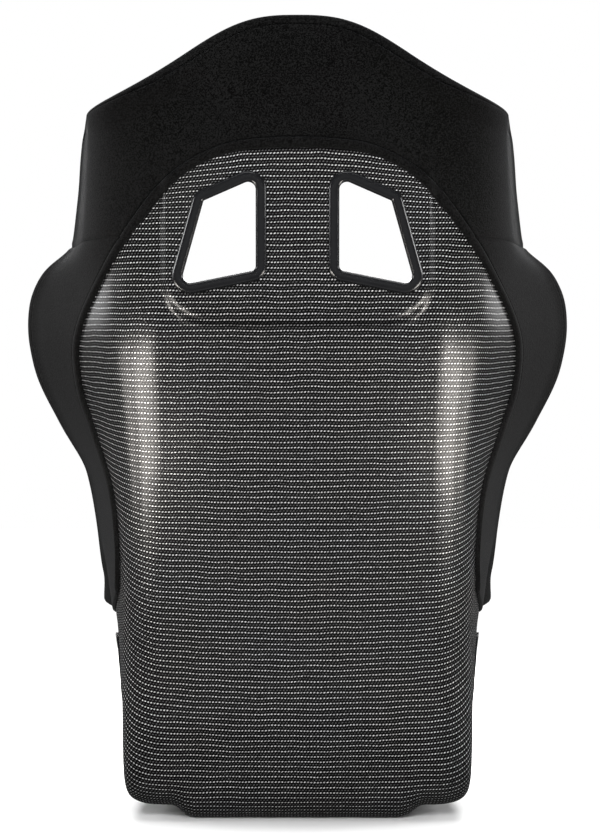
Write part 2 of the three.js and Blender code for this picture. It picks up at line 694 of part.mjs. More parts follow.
// Closed outline round the edge: [past the edge, along the normal].
function edgeOutline(inward, wall) {
  const half = SHELL_THICKNESS / 2 + GAP + wall;
  const nose = GAP + wall;
  const slim = half - 0.3 * wall;
  return [
    [-inward, slim],
    [-inward * 0.3, half],
    [nose, half * 0.45],
    [nose, -half * 0.45],
    [-inward * 0.3, -half],
    [-inward, -slim],
  ];
}

function edgeSweep(path, outline) {
  const loops = edgeFrames(path).map(({ point, away, normal }) => outline.map(
    ([a, b]) => point.clone().addScaledVector(away, a).addScaledVector(normal, b),
  ));
  return loft(loops);
}

// Rows of the shell grid between two distances, with the exact ends added.
function rowsBetween(from, to) {
  const near = 4;
  return [from, ...ROWS.filter((run) => run > from + near && run < to - near), to];
}

// Everything on one side of the plane in which a section lies, apart from half an air gap. `ahead` is 1 for
// the side towards the head and -1 for the side towards the front lip.
function beyondSection(run, ahead) {
  const mid = new THREE.Vector2(midY(run), midZ(run));
  const rim = new THREE.Vector2(rimY(run), rimZ(run));
  const along = rim.clone().sub(mid).normalize();
  const out = new THREE.Vector2(-along.y, along.x);
  const next = new THREE.Vector2(midY(run + 1) - mid.x, midZ(run + 1) - mid.y);
  if (out.dot(next) < 0) out.negate();
  out.multiplyScalar(ahead);
  const reach = 400;
  const start = mid.addScaledVector(along, -reach / 2).addScaledVector(out, -GAP / 2);
  const end = rim.addScaledVector(along, reach / 2).addScaledVector(out, -GAP / 2);
  const outline = [start, end, end.clone().addScaledVector(out, reach), start.clone().addScaledVector(out, reach)];
  const frame = frameAt(
    new THREE.Vector3(-reach, 0, 0),
    new THREE.Vector3(0, 1, 0),
    new THREE.Vector3(0, 0, 1),
    new THREE.Vector3(1, 0, 0),
  );
  return toSolid(prism(outline, 2 * reach).applyMatrix4(frame));
}

const SEAM_OVERRUN = 24;
const TONGUE_OVERRUN = 12;
const RUN_SEAM = runAtRimHeight(plateauFoot[1] + SEAM_ABOVE_PLATEAU_FOOT);
const RUN_TONGUE = runAtRimHeight(TONGUE_HEIGHT + 26);

// The hem on the back: an arch over the belt slots and down inside the wings. Each point is a half-width,
// measured from that of the part of the shell it follows, and a share of the height from the tongues' ends.
const hemTop = plateauTop[1] - HEM_BELOW_PLATEAU_TOP;
const HEM = [
  [0, 1],
  [PLATEAU_HALF - 83, 0.992],
  [PLATEAU_HALF - 28, 0.945],
  [PLATEAU_HALF + 19, 0.85],
  [PLATEAU_HALF + 63, 0.735],
  [SHOULDER_HALF - 66, 0.629],
  [SHOULDER_HALF - 66, 0.527],
  [SHOULDER_HALF - 81, 0.432],
  [MOUNT_HALF + 9, 0.307],
  [MOUNT_HALF + 2, 0.186],
  [MOUNT_HALF + 3, 0.091],
  [MOUNT_HALF + 9, 0.03],
  [MOUNT_HALF + 24, 0],
].map(([x, share]) => new THREE.Vector2(x, lerp(TONGUE_HEIGHT - 2, hemTop, share)));
const HEM_STEPS = 20;

function hemPrism() {
  const curve = new THREE.SplineCurve(HEM).getPoints(HEM_STEPS);
  const below = [new THREE.Vector2(400, curve[HEM_STEPS].y - 4), new THREE.Vector2(400, -100)];
  const right = [...curve, ...below];
  const left = right.slice(1).map((p) => new THREE.Vector2(-p.x, p.y));
  const depth = 600;
  const geometry = prism([...right.reverse(), ...left], depth);
  return toSolid(geometry.rotateX(Math.PI / 2).translate(0, depth / 2, 0));
}

const hemCutter = hemPrism();

function makeHeadCover() {
  const rows = rowsBetween(RUN_SEAM - SEAM_OVERRUN, RUN_END);
  const back = toSolid(skin(GAP + FLAP_THICKNESS, -SHELL_THICKNESS / 2, rows));
  const across = COLUMNS.slice(1, -1).reverse();
  const path = [
    ...rows.map((run) => [run, 3]),
    ...across.map((u) => [RUN_END, u]),
    ...rows.map((run) => [run, -3]).reverse(),
  ];
  const roll = toSolid(edgeSweep(path, edgeOutline(ROLL_LIP, ROLL_THICKNESS)));
  return cut(join(back, roll), shellClearance, hemCutter, beyondSection(RUN_SEAM, -1));
}

function makeShoulderCover(sideSign) {
  const rows = rowsBetween(RUN_TONGUE - TONGUE_OVERRUN, RUN_SEAM + SEAM_OVERRUN);
  const columns = COLUMNS.filter((u) => u * sideSign >= 1.2);
  const back = toSolid(skin(GAP + FLAP_THICKNESS, -SHELL_THICKNESS / 2, rows, columns));
  const path = rows.map((run) => [run, sideSign * 3]);
  const roll = toSolid(edgeSweep(path, edgeOutline(ROLL_LIP, ROLL_THICKNESS)));
  return cut(join(back, roll), shellClearance, hemCutter, beyondSection(RUN_SEAM, 1), beyondSection(RUN_TONGUE, -1));
}

const TRIM_FRONT_COLUMNS = [1.8, 2, 2.34, 2.62, 2.85];

function makeEdgeTrim(sideSign) {
  const rows = rowsBetween(0, RUN_TONGUE + TONGUE_OVERRUN);
  const front = TRIM_FRONT_COLUMNS.map((u) => [0, sideSign * u]);
  const path = [...front, ...rows.map((run) => [run, sideSign * 3])];
  const trim = toSolid(edgeSweep(path, edgeOutline(TRIM_LIP, TRIM_WALL)));
  return cut(trim, shellClearance, beyondSection(RUN_TONGUE, 1));
}

// ---------------------------------------------------------------------------------------------
// Belt-slot frames
// ---------------------------------------------------------------------------------------------

// A flat ring with chamfered edges, on the plateau. `lift` is the height of its foot above the face.
function shoulderRing(sideSign, outerInset, lift, rise, chamfer) {
  const shape = new THREE.Shape(shoulderOutline(sideSign, outerInset + chamfer));
  shape.holes.push(new THREE.Path(shoulderOutline(sideSign, BEZEL_FACE - chamfer)));
  const geometry = new THREE.ExtrudeGeometry(shape, {
    depth: rise - 2 * chamfer,
    bevelThickness: chamfer,
    bevelSize: chamfer,
    bevelSegments: 1,
  });
  return toSolid(geometry.translate(0, 0, chamfer).applyMatrix4(plateauFrame(lift)));
}

function shoulderCollar(sideSign, from, to) {
  const shape = new THREE.Shape(shoulderOutline(sideSign, BEZEL_FACE - BEZEL_WALL));
  shape.holes.push(new THREE.Path(shoulderOutline(sideSign, BEZEL_FACE)));
  const geometry = new THREE.ExtrudeGeometry(shape, { depth: to - from, bevelEnabled: false });
  return toSolid(geometry.applyMatrix4(plateauFrame(from)));
}

function makeRearShoulderBezel(sideSign) {
  const ring = shoulderRing(sideSign, 0, GAP, BEZEL_RISE, BEZEL_CHAMFER);
  const collar = shoulderCollar(sideSign, -SHELL_THICKNESS - GAP - TRIM_BEZEL_RISE, GAP + BEZEL_RISE / 2);
  return join(ring, collar);
}

function makeFrontShoulderBezel(sideSign) {
  const shape = new THREE.Shape(shoulderOutline(sideSign, 3 * BEZEL_CHAMFER));
  shape.holes.push(new THREE.Path(shoulderOutline(sideSign, SLOT_INSET)));
  const geometry = new THREE.ExtrudeGeometry(shape, { depth: TRIM_BEZEL_RISE, bevelEnabled: false });
  return toSolid(geometry.applyMatrix4(plateauFrame(-SHELL_THICKNESS - GAP - TRIM_BEZEL_RISE)));
}

// A frame that follows a curved face: a slice of skin cut out by the slot's prism.
function followingFrames(slotPrism, rows, columns) {
  const slice = (outer, inner) => toSolid(skin(outer, inner, rows, columns));
  const far = -SHELL_THICKNESS - GAP;
  const face = slotPrism(SMALL_BEZEL_FACE);
  const ring = slice(GAP + TRIM_BEZEL_RISE, GAP).intersect(face);
  const collar = slice(GAP + TRIM_BEZEL_RISE, far - TRIM_BEZEL_RISE).intersect(slotPrism(BEZEL_WALL));
  const inner = slice(far, far - TRIM_BEZEL_RISE).intersect(face);
  return {
    outer: cut(join(ring, collar), slotPrism(0)),
    inner: cut(inner, slotPrism(BEZEL_WALL + GAP)),
  };
}

function makeLapFrames(sideSign) {
  const rows = rowsBetween(RUN_CORNER - 70, RUN_FOOT + 90);
  const columns = COLUMNS.filter((u) => u * sideSign >= 1.8);
  return followingFrames((grow) => lapPrism(sideSign, grow), rows, columns);
}

function makeCrotchFrames() {
  const rows = rowsBetween(RUN_PAN_FRONT - 20, RUN_CORNER - KEEL_LENGTH);
  const columns = COLUMNS.filter((u) => Math.abs(u) <= 1);
  return followingFrames(crotchPrism, rows, columns);
}

// ---------------------------------------------------------------------------------------------
// Pads and cushions
// ---------------------------------------------------------------------------------------------

const crown = (t) => 1 - Math.abs(2 * t - 1) ** 3;

// A padded body on the inner face. The result has its foot on the shell and a crowned face that falls to
// PAD_EDGE at the seams. `channels` sewn grooves run across it.
const DRAW_IN = 5; // how far the sides draw in between the corners
const CHANNEL_DEPTH = 0.4; // share of the thickness
const CHANNEL_WIDTH = 0.16; // share of the spacing

function channelShare(t, channels) {
  if (channels === 0) return 1;
  const phase = t * (channels + 1);
  const distance = Math.abs(phase - Math.round(phase));
  const inside = Math.round(phase) > 0 && Math.round(phase) <= channels;
  return inside ? 1 - CHANNEL_DEPTH * (1 - smooth(distance, 0, CHANNEL_WIDTH)) : 1;
}

function padBody({ from, to, low, high, thickness, rows, columns, channels = 0 }) {
  const place = (a, b) => {
    const draw = DRAW_IN * (1 - (2 * b - 1) ** 2);
    const end = to(lerp(low(from), high(from), b));
    const run = lerp(from + draw, end - draw, a);
    return [run, lerp(low(run), high(run), b)];
  };
  const rowShares = channels === 0 ? steps(0, 1, rows) : channelRows(channels);
  const columnShares = steps(0, 1, columns);
  const height = (a, b) => PAD_EDGE + (thickness - PAD_EDGE) * crown(a) * crown(b) * channelShare(a, channels);
  const grid = (point) => rowShares.map((a) => columnShares.map((b) => point(a, b)));
  const upper = grid((a, b) => plainPoint(...place(a, b), -SHELL_THICKNESS - GAP - height(a, b)));
  const foot = grid((a, b) => plainPoint(...place(a, b), -SHELL_THICKNESS * 0.6));
  return cut(toSolid(slab(foot, upper)), padClearance);
}

// Rows that meet each channel and its two shoulders.
function channelRows(channels) {
  const pitch = 1 / (channels + 1);
  const rows = [0, pitch * 0.25];
  for (let k = 1; k <= channels; k += 1) {
    rows.push(pitch * (k - 0.5), pitch * (k - CHANNEL_WIDTH), pitch * k, pitch * (k + CHANNEL_WIDTH));
  }
  return [...rows, 1 - pitch * 0.5, 1 - pitch * 0.25, 1].filter((a, i, all) => i === 0 || a > all[i - 1]);
}

// The u of a point a given distance inside the rim, measured square to it.
function insideRim(distance) {
  return (run) => {
    const section = sectionAt(run);
    const along = new THREE.Vector2(rimY(run + 1) - rimY(run - 1), rimZ(run + 1) - rimZ(run - 1)).normalize();
    const ray = section.rim.clone().sub(section.mid).normalize();
    const slant = Math.abs(along.cross(ray));
    return 3 - distance / slant / (section.depth - section.wallStart);
  };
}

const bySide = (sideSign, pad) => ({ ...pad, low: (run) => sideSign * pad.low(run), high: (run) => sideSign * pad.high(run) });
const BESIDE_ROLL = ROLL_LIP + 3;
const RUN_WAIST = runAtRimHeight(322);

const torsoBolster = (sideSign) => padBody(bySide(sideSign, {
  from: RUN_WAIST,
  to: () => RUN_SEAM - 8,
  low: () => 1.3,
  high: insideRim(BESIDE_ROLL),
  thickness: BOLSTER_THICKNESS,
  rows: 9,
  columns: 5,
}));

const thighBolster = (sideSign) => padBody(bySide(sideSign, {
  from: 34,
  to: () => RUN_CORNER - 96,
  low: () => 2.37,
  high: insideRim(TRIM_LIP + 4),
  thickness: THIGH_PAD_THICKNESS,
  rows: 6,
  columns: 4,
}));

const headWingPad = (sideSign) => padBody(bySide(sideSign, {
  from: RUN_SEAM + 8,
  to: () => RUN_END - 2.9 * (ROLL_LIP + 8),
  low: () => 1.3,
  high: insideRim(BESIDE_ROLL),
  thickness: WING_PAD_THICKNESS,
  rows: 6,
  columns: 5,
}));

const headrestPad = () => padBody({
  from: RUN_PLATEAU_TOP + 2,
  to: (u) => RUN_END - (ROLL_LIP + 8) * (1 + 1.1 * Math.abs(u)),
  low: () => -1.2,
  high: () => 1.2,
  thickness: HEAD_PAD_THICKNESS,
  rows: 6,
  columns: 8,
});

const BACK_CUSHION_FROM = runAtHeight(112);
const BACK_CUSHION_TO = RUN_BACK_TOP - 6;
const SEAT_CUSHION_FROM = 8;
const SEAT_CUSHION_TO = RUN_CORNER - 4;

// Hook strips lie on the shell and loop strips on the cushions, two of each per cushion. Each place is given
// by its two distances along the shell and its two values of u.
const stripFrom = (layer) => -SHELL_THICKNESS - GAP - layer * (STRIP_THICKNESS + GAP);

function strip([from, to, low, high], layer, margin = 0, depth = STRIP_THICKNESS) {
  const rows = [from - margin, to + margin];
  const columns = steps(low - margin / FLAT_HALF, high + margin / FLAT_HALF, 3);
  const grid = (off) => rows.map((row) => columns.map((u) => facePoint(row, u, off)));
  return toSolid(slab(grid(stripFrom(layer)), grid(stripFrom(layer) - depth)));
}

function stripPockets(strips) {
  return strips.map(([, place]) => strip(place, -1, 1, 3 * STRIP_THICKNESS + 4 * GAP));
}

// Across the back, one low and one high; along both sides of the pan, beside the keel.
const BACK_STRIPS = [['lower', 0.22], ['upper', 0.78]].map(([name, share]) => {
  const middle = lerp(BACK_CUSHION_FROM, BACK_CUSHION_TO, share);
  const reach = STRIP_LENGTH / 2 / FLAT_HALF;
  return [name, [middle - STRIP_WIDTH / 2, middle + STRIP_WIDTH / 2, -reach, reach]];
});
const SEAT_STRIP_MIDDLE = RUN_CORNER - KEEL_LENGTH / 2;
const SEAT_STRIPS = [['left', 1], ['right', -1]].map(([name, sign]) => {
  const low = (KEEL_HALF + 3) / FLAT_HALF;
  const columns = [sign * low, sign * (low + SEAT_STRIP_WIDTH / FLAT_HALF * 2)].sort((a, b) => a - b);
  return [name, [SEAT_STRIP_MIDDLE - STRIP_LENGTH / 2, SEAT_STRIP_MIDDLE + STRIP_LENGTH / 2, ...columns]];
});

function makeBackCushion() {
  const pad = padBody({
    from: BACK_CUSHION_FROM,
    to: () => BACK_CUSHION_TO,
    low: () => -1.12,
    high: () => 1.12,
    thickness: BACK_CUSHION_THICKNESS,
    columns: 8,
    channels: 4,
  });
  return cut(pad, ...stripPockets(BACK_STRIPS));
}

function makeSeatCushion() {
  const pad = padBody({
    from: SEAT_CUSHION_FROM,
    to: () => SEAT_CUSHION_TO,
    low: () => -1.5,
    high: () => 1.5,
    thickness: SEAT_CUSHION_THICKNESS,
    columns: 8,
    channels: 2,
  });
  return cut(pad, ...stripPockets(SEAT_STRIPS), crotchPrism(SMALL_BEZEL_FACE + 2));
}

// ---------------------------------------------------------------------------------------------
// Side-mount fixings
// ---------------------------------------------------------------------------------------------

const PLATE_FACE = MOUNT_HALF - SHELL_THICKNESS - GAP;

function makeMountPlate(sideSign) {
  const halfLength = MOUNT_SPACING / 2 + PLATE_MARGIN;
  const outline = roundedOutline(roundedBoxCorners(halfLength, PLATE_HEIGHT / 2, PLATE_HEIGHT / 2 - 1));
  const frame = frameAt(
    new THREE.Vector3(sideSign * PLATE_FACE, MOUNT_YS[0] - MOUNT_SPACING / 2, MOUNT_HEIGHT),
    new THREE.Vector3(0, sideSign, 0),
    new THREE.Vector3(0, 0, 1),
    new THREE.Vector3(sideSign, 0, 0),
  );
  const plate = toSolid(prism(outline, PLATE_THICKNESS).translate(0, 0, -PLATE_THICKNESS).applyMatrix4(frame));
  return cut(plate, ...MOUNT_YS.map((y) => mountBore(sideSign, y)));
}

// A flanged nut: the flange bears on the plate inside, and the barrel ends flush with the shell's face.
function makeInsert(sideSign, y) {
  const flangeInner = PLATE_FACE - PLATE_THICKNESS - GAP - INSERT_FLANGE_THICKNESS;
  const barrelLength = MOUNT_HALF - flangeInner;
  const profile = [
    [BOLT_BORE_RADIUS, 0],
    [INSERT_FLANGE_RADIUS, 0],
    [INSERT_FLANGE_RADIUS, INSERT_FLANGE_THICKNESS],
    [INSERT_BARREL_RADIUS, INSERT_FLANGE_THICKNESS],
    [INSERT_BARREL_RADIUS, barrelLength],
    [BOLT_BORE_RADIUS, barrelLength],
    [BOLT_BORE_RADIUS, 0],
  ].map(([r, h]) => new THREE.Vector2(r, h));
  return toSolid(sideways(new THREE.LatheGeometry(profile, 12), sideSign, flangeInner, y, MOUNT_HEIGHT));
}

// ---------------------------------------------------------------------------------------------
// The seat
// ---------------------------------------------------------------------------------------------

const seat = new THREE.Group();

function material(color, roughness, metalness = 0) {
  return new THREE.MeshStandardMaterial({ color, roughness, metalness });
}

const carbon = () => material(0x2a2b2f, 0.25, 0.1);
const fabric = () => material(0x1b1b1d, 0.95);
const plastic = () => material(0x2e3033, 0.5);
const rubber = () => material(0x141414, 0.8);

function add(name, solid, finish) {
  const mesh = new THREE.Mesh(toGeometry(solid), finish);
  mesh.name = name;
  seat.add(mesh);
}

const aluminium = () => material(0x9a9da1, 0.4, 0.9);
const steel = () => material(0x8a8c90, 0.35, 0.95);
const hook = () => material(0x101010, 1);

add('shell', makeShell(), carbon());
add('head_cover', makeHeadCover(), fabric());
add('headrest_pad', headrestPad(), fabric());
add('back_cushion', makeBackCushion(), fabric());
add('seat_cushion', makeSeatCushion(), fabric());

SIDES.forEach(([name, sign]) => {
  const lap = makeLapFrames(sign);
  add(`shoulder_cover_${name}`, makeShoulderCover(sign), fabric());
  add(`edge_trim_${name}`, makeEdgeTrim(sign), rubber());
  add(`head_wing_pad_${name}`, headWingPad(sign), fabric());
  add(`torso_bolster_${name}`, torsoBolster(sign), fabric());
  add(`thigh_bolster_${name}`, thighBolster(sign), fabric());
  add(`shoulder_bezel_rear_${name}`, makeRearShoulderBezel(sign), plastic());
  add(`shoulder_bezel_front_${name}`, makeFrontShoulderBezel(sign), plastic());
  add(`lap_bezel_outer_${name}`, lap.outer, plastic());
  add(`lap_bezel_inner_${name}`, lap.inner, plastic());
  add(`mount_plate_${name}`, makeMountPlate(sign), aluminium());
  add(`mount_insert_rear_${name}`, makeInsert(sign, MOUNT_YS[0]), steel());
  add(`mount_insert_front_${name}`, makeInsert(sign, MOUNT_YS[1]), steel());
});

const crotch = makeCrotchFrames();
add('crotch_bezel_lower', crotch.outer, plastic());
add('crotch_bezel_upper', crotch.inner, plastic());

[['back', BACK_STRIPS], ['seat', SEAT_STRIPS]].forEach(([cushion, strips]) => {
  strips.forEach(([name, place]) => {
    add(`${cushion}_hook_strip_${name}`, strip(place, 0), hook());
    add(`${cushion}_loop_strip_${name}`, strip(place, 1), hook());
  });
});

// The origin is the middle of the seat's box, at its foot.
const box = new THREE.Box3().setFromObject(seat);
const middle = box.getCenter(new THREE.Vector3());
seat.children.forEach((mesh) => mesh.geometry.translate(-middle.x, -middle.y, -box.min.z));

export default seat;
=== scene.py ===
"""Looks of the racing seat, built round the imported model. Metres, +Z up, the seat faces -Y.

The shell's surface is worked out in millimetres from the same stations as the solids, in a frame whose
origin is on the floor below the foot of the back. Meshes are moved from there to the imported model's frame.
"""

import json
import math

import bmesh
import bpy
import numpy as np
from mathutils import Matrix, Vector
from mathutils.kdtree import KDTree

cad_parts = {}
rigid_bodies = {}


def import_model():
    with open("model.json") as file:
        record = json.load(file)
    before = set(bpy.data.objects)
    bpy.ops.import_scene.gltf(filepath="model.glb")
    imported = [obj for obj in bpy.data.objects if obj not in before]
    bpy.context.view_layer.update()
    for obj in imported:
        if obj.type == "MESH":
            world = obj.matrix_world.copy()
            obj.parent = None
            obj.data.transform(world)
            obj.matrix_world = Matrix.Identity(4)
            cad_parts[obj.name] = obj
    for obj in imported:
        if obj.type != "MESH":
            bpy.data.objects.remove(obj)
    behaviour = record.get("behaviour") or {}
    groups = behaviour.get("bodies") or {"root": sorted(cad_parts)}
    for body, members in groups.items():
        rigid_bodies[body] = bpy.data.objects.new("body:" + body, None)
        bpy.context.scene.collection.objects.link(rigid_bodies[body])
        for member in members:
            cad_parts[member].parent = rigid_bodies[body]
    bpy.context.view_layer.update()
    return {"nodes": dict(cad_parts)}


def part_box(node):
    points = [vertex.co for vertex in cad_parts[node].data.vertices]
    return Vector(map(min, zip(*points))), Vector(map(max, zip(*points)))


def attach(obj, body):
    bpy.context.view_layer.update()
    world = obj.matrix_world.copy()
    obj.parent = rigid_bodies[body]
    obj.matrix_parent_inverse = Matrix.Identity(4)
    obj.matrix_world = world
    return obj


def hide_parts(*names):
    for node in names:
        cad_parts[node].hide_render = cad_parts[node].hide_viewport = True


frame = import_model()
scene = bpy.context.scene

# ---- Sizes in millimetres, as in the solids ----

GAP = 0.3
THICK = 4.0
KEEL_DEPTH = 14.0
PAN_LENGTH = 306.0
LIP_RISE, LIP_REACH = 88.0, 92.0
CORNER_RADIUS = 60.0
LEAN, PLATEAU_LEAN = math.radians(13), math.radians(5)
BACK_HEIGHT, PLATEAU_HEIGHT, HEAD_HEIGHT = 491.0, 177.0, 136.0
FLAT_HALF, MOUNT_HALF, HIP_HALF = 150.0, 198.0, 211.0
SHOULDER_HALF, HEAD_HALF = 309.0, 239.0
HIP_STEP = 7.5
CORNER_FALL = 48.0
BACK_CAMBER = 7.0
HEAD_DROP, HEAD_BEND, HEAD_BULGE = 146.0, 153.5, 2.85
PAN_CORNER_FALL = 34.0
PLATEAU_HALF, PLATEAU_RAISE = 151.0, 9.0
KEEL_HALF, KEEL_STEP, KEEL_LENGTH = 145.0, 27.0, 212.0
ROLL, ROLL_LIP, FLAP = 6.0, 24.0, 3.4
TONGUE_HEIGHT, SEAM_RISE, HEM_DROP = 216.0, 80.0, 6.0
PAD_EDGE = 7.0
BEZEL_FACE, BEZEL_RISE, BEZEL_WALL = 11.7, 4.6, 3.0
SMALL_BEZEL_RISE = 3.0
MOUNT_REAR, MOUNT_SPACING, MOUNT_HEIGHT, MOUNT_HOLE = 66.0, 290.0, 88.0, 6.8

# Rounder or thicker here than in the solids, after the photograph
PLATEAU_CORNER, PLATEAU_STEP = 56.0, 10.0
BEZEL_CHAMFER = 2.4
TONGUE_BULB = 9.0

low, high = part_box("mount_insert_rear_left")
SHIFT_Y = 1000 * (low[1] + high[1]) / 2 + MOUNT_REAR
SIDES = (("left", 1), ("right", -1))


def smooth(x, start, end):
    t = np.clip((np.asarray(x, float) - start) / (end - start), 0, 1)
    return t * t * (3 - 2 * t)


def lerp(a, b, t):
    return a + (b - a) * t


# ---- The shell's outer face ----
# run is the distance along the middle line. u goes from 0 in the middle to 1 at the end of the flat part,
# 2 where the side wall starts and 3 at the rim.

PAN_Z = KEEL_DEPTH
pan_rear = -CORNER_RADIUS * math.cos(LEAN)
pan_front = pan_rear - PAN_LENGTH


def corner_point(turn):
    angle = turn * (math.pi / 2 - LEAN)
    return (pan_rear + CORNER_RADIUS * math.sin(angle), PAN_Z + CORNER_RADIUS * (1 - math.cos(angle)))


def up_from(start, angle, height):
    return (start[0] + height * math.tan(angle), start[1] + height)


foot = corner_point(1)
back_top = up_from(foot, LEAN, BACK_HEIGHT)
plateau_foot = up_from(back_top, (LEAN + PLATEAU_LEAN) / 2, 20)
plateau_top = up_from(plateau_foot, PLATEAU_LEAN, PLATEAU_HEIGHT)


def on_pan(reach, rise):
    return (pan_front - LIP_REACH * reach, PAN_Z + LIP_RISE * rise)


def on_back(share):
    return up_from(foot, LEAN, share * BACK_HEIGHT)


def on_plateau(share):
    return up_from(plateau_foot, PLATEAU_LEAN, share * PLATEAU_HEIGHT)


def on_head(share, lean_share):
    return up_from(plateau_top, PLATEAU_LEAN * lean_share, share * HEAD_HEIGHT)


# middle point, rim ahead of it, rim above it, half-width where the wall starts, half-width at the rim
STATIONS = (
    (on_pan(1, 1), -32, 68, MOUNT_HALF, HIP_HALF - 10),
    (on_pan(0.62, 0.66), -26, 129, MOUNT_HALF, HIP_HALF - 6),
    (on_pan(0.28, 0.22), -28, 186, MOUNT_HALF, HIP_HALF - 2),
    ((pan_front, PAN_Z), -40, 213, MOUNT_HALF, HIP_HALF),
    (((pan_front + pan_rear) / 2, PAN_Z), 34, 216, MOUNT_HALF, HIP_HALF),
    (corner_point(0), 125, 224, MOUNT_HALF, HIP_HALF + 1),
    (corner_point(0.5), 131, 231, MOUNT_HALF, HIP_HALF + 6),
    (foot, 134, 229, MOUNT_HALF, HIP_HALF + 13),
    (on_back(0.25), 149, 158, MOUNT_HALF, SHOULDER_HALF - 79),
    (on_back(0.5), 171, 92, MOUNT_HALF + 5, SHOULDER_HALF - 68),
    (on_back(0.72), 194, 44, MOUNT_HALF + 20, SHOULDER_HALF - 35),
    (on_back(0.9), 212, 20, MOUNT_HALF + 40, SHOULDER_HALF - 6),
    (back_top, 216, 14, MOUNT_HALF + 49, SHOULDER_HALF),
    (plateau_foot, 212, 16, MOUNT_HALF + 50, SHOULDER_HALF - 2),
    (on_plateau(0.25), 186, 8, MOUNT_HALF + 46, SHOULDER_HALF - 21),
    (on_plateau(0.45), 178, 1, HEAD_HALF - 1, HEAD_HALF + 15),
    (on_plateau(0.7), 195, -2, HEAD_HALF - 5, HEAD_HALF + 11),
    (plateau_top, 215, -20, HEAD_HALF - 7, HEAD_HALF + 9),
    (on_head(0.4, 0.6), 219, -40, HEAD_HALF - 9, HEAD_HALF + 7),
    (on_head(0.75, 0), 205, -70, HEAD_HALF - 10, HEAD_HALF + 4),
    (on_head(1, -1), 166, -99, HEAD_HALF - 12, HEAD_HALF),
)

mids = np.array([s[0] for s in STATIONS])
RUNS = np.concatenate([[0], np.cumsum(np.hypot(*np.diff(mids, axis=0).T))])
RUN_END = RUNS[-1]
RUN_CORNER, RUN_FOOT = RUNS[5], RUNS[7]
RUN_BACK_TOP, RUN_PLATEAU_TOP = RUNS[12], RUNS[17]
PLATEAU_BOTTOM = RUN_BACK_TOP - 2


def station_curve(values):
    """A smooth curve through one value for each station, averaged over 30 mm."""
    xs, ys = RUNS, np.array(values, float)
    secant = np.diff(ys) / np.diff(xs)
    before, after = secant[:-1], secant[1:]
    total = np.where(before + after == 0, 1, before + after)
    inner = np.where(before * after <= 0, 0, 2 * before * after / total)
    slope = np.concatenate([secant[:1], inner, secant[-1:]])

    def at(x):
        i = np.clip(np.searchsorted(xs, x) - 1, 0, len(xs) - 2)
        h = xs[i + 1] - xs[i]
        t = (x - xs[i]) / h
        value = (1 + 2 * t) * (1 - t) ** 2 * ys[i] + t * (1 - t) ** 2 * h * slope[i]
        value = value + t * t * (3 - 2 * t) * ys[i + 1] + t * t * (t - 1) * h * slope[i + 1]
        value = np.where(x <= xs[0], ys[0] + slope[0] * (x - xs[0]), value)
        return np.where(x >= xs[-1], ys[-1] + slope[-1] * (x - xs[-1]), value)

    def softened(x):
        x = np.asarray(x, float)
        return sum(w * at(x + (k - 3) * 5.0) for k, w in enumerate((1, 2, 3, 4, 3, 2, 1))) / 16

    return softened


mid_y = station_curve([s[0][0] for s in STATIONS])
mid_z = station_curve([s[0][1] for s in STATIONS])
rim_y = station_curve([s[0][0] - s[1] for s in STATIONS])
rim_z = station_curve([s[0][1] + s[2] for s in STATIONS])
side_x = station_curve([s[3] for s in STATIONS])
edge_x = station_curve([s[4] for s in STATIONS])


def run_at(rising, z):
    """The run on the back at which a rising curve reaches z."""
    start, end = RUN_CORNER, RUN_END
    for _ in range(50):
        middle = (start + end) / 2
        if rising(middle) < z:
            start = middle
        else:
            end = middle
    return (start + end) / 2


def head_sag(x, run):
    """How far the top edge falls towards the sides of the head."""
    share = np.clip((run - RUNS[15]) / (RUN_END - RUNS[15]), 0, 1) ** 1.5
    out = (np.abs(x) / HEAD_BEND) ** HEAD_BULGE
    return share * HEAD_DROP * out / (1 + out)


EAR_U, EAR_DROP, EAR_REACH = 0.2, 22.0, 90.0


def ear_drop(u):
    """How far the top edge falls as it rounds into the rim of the head wing."""
    t = np.clip((np.abs(u) - (3 - EAR_U)) / EAR_U, 0, 1)
    return EAR_DROP * (1 - np.sqrt(np.clip(1 - t * t, 0, 1)))


def corner_shape(run, depth):
    """The share of the back's form, the camber, and the width and fall of the rounded corner."""
    straight = smooth(run, RUN_CORNER, RUNS[8])
    camber = BACK_CAMBER * straight * (1 - smooth(run, RUNS[10], RUN_BACK_TOP))
    width = side_x(run) - FLAT_HALF
    corner_fall = lerp(PAN_CORNER_FALL, CORNER_FALL, straight)
    fall = np.minimum(corner_fall * width / (MOUNT_HALF - FLAT_HALF), depth / 2)
    return straight, camber, width, fall


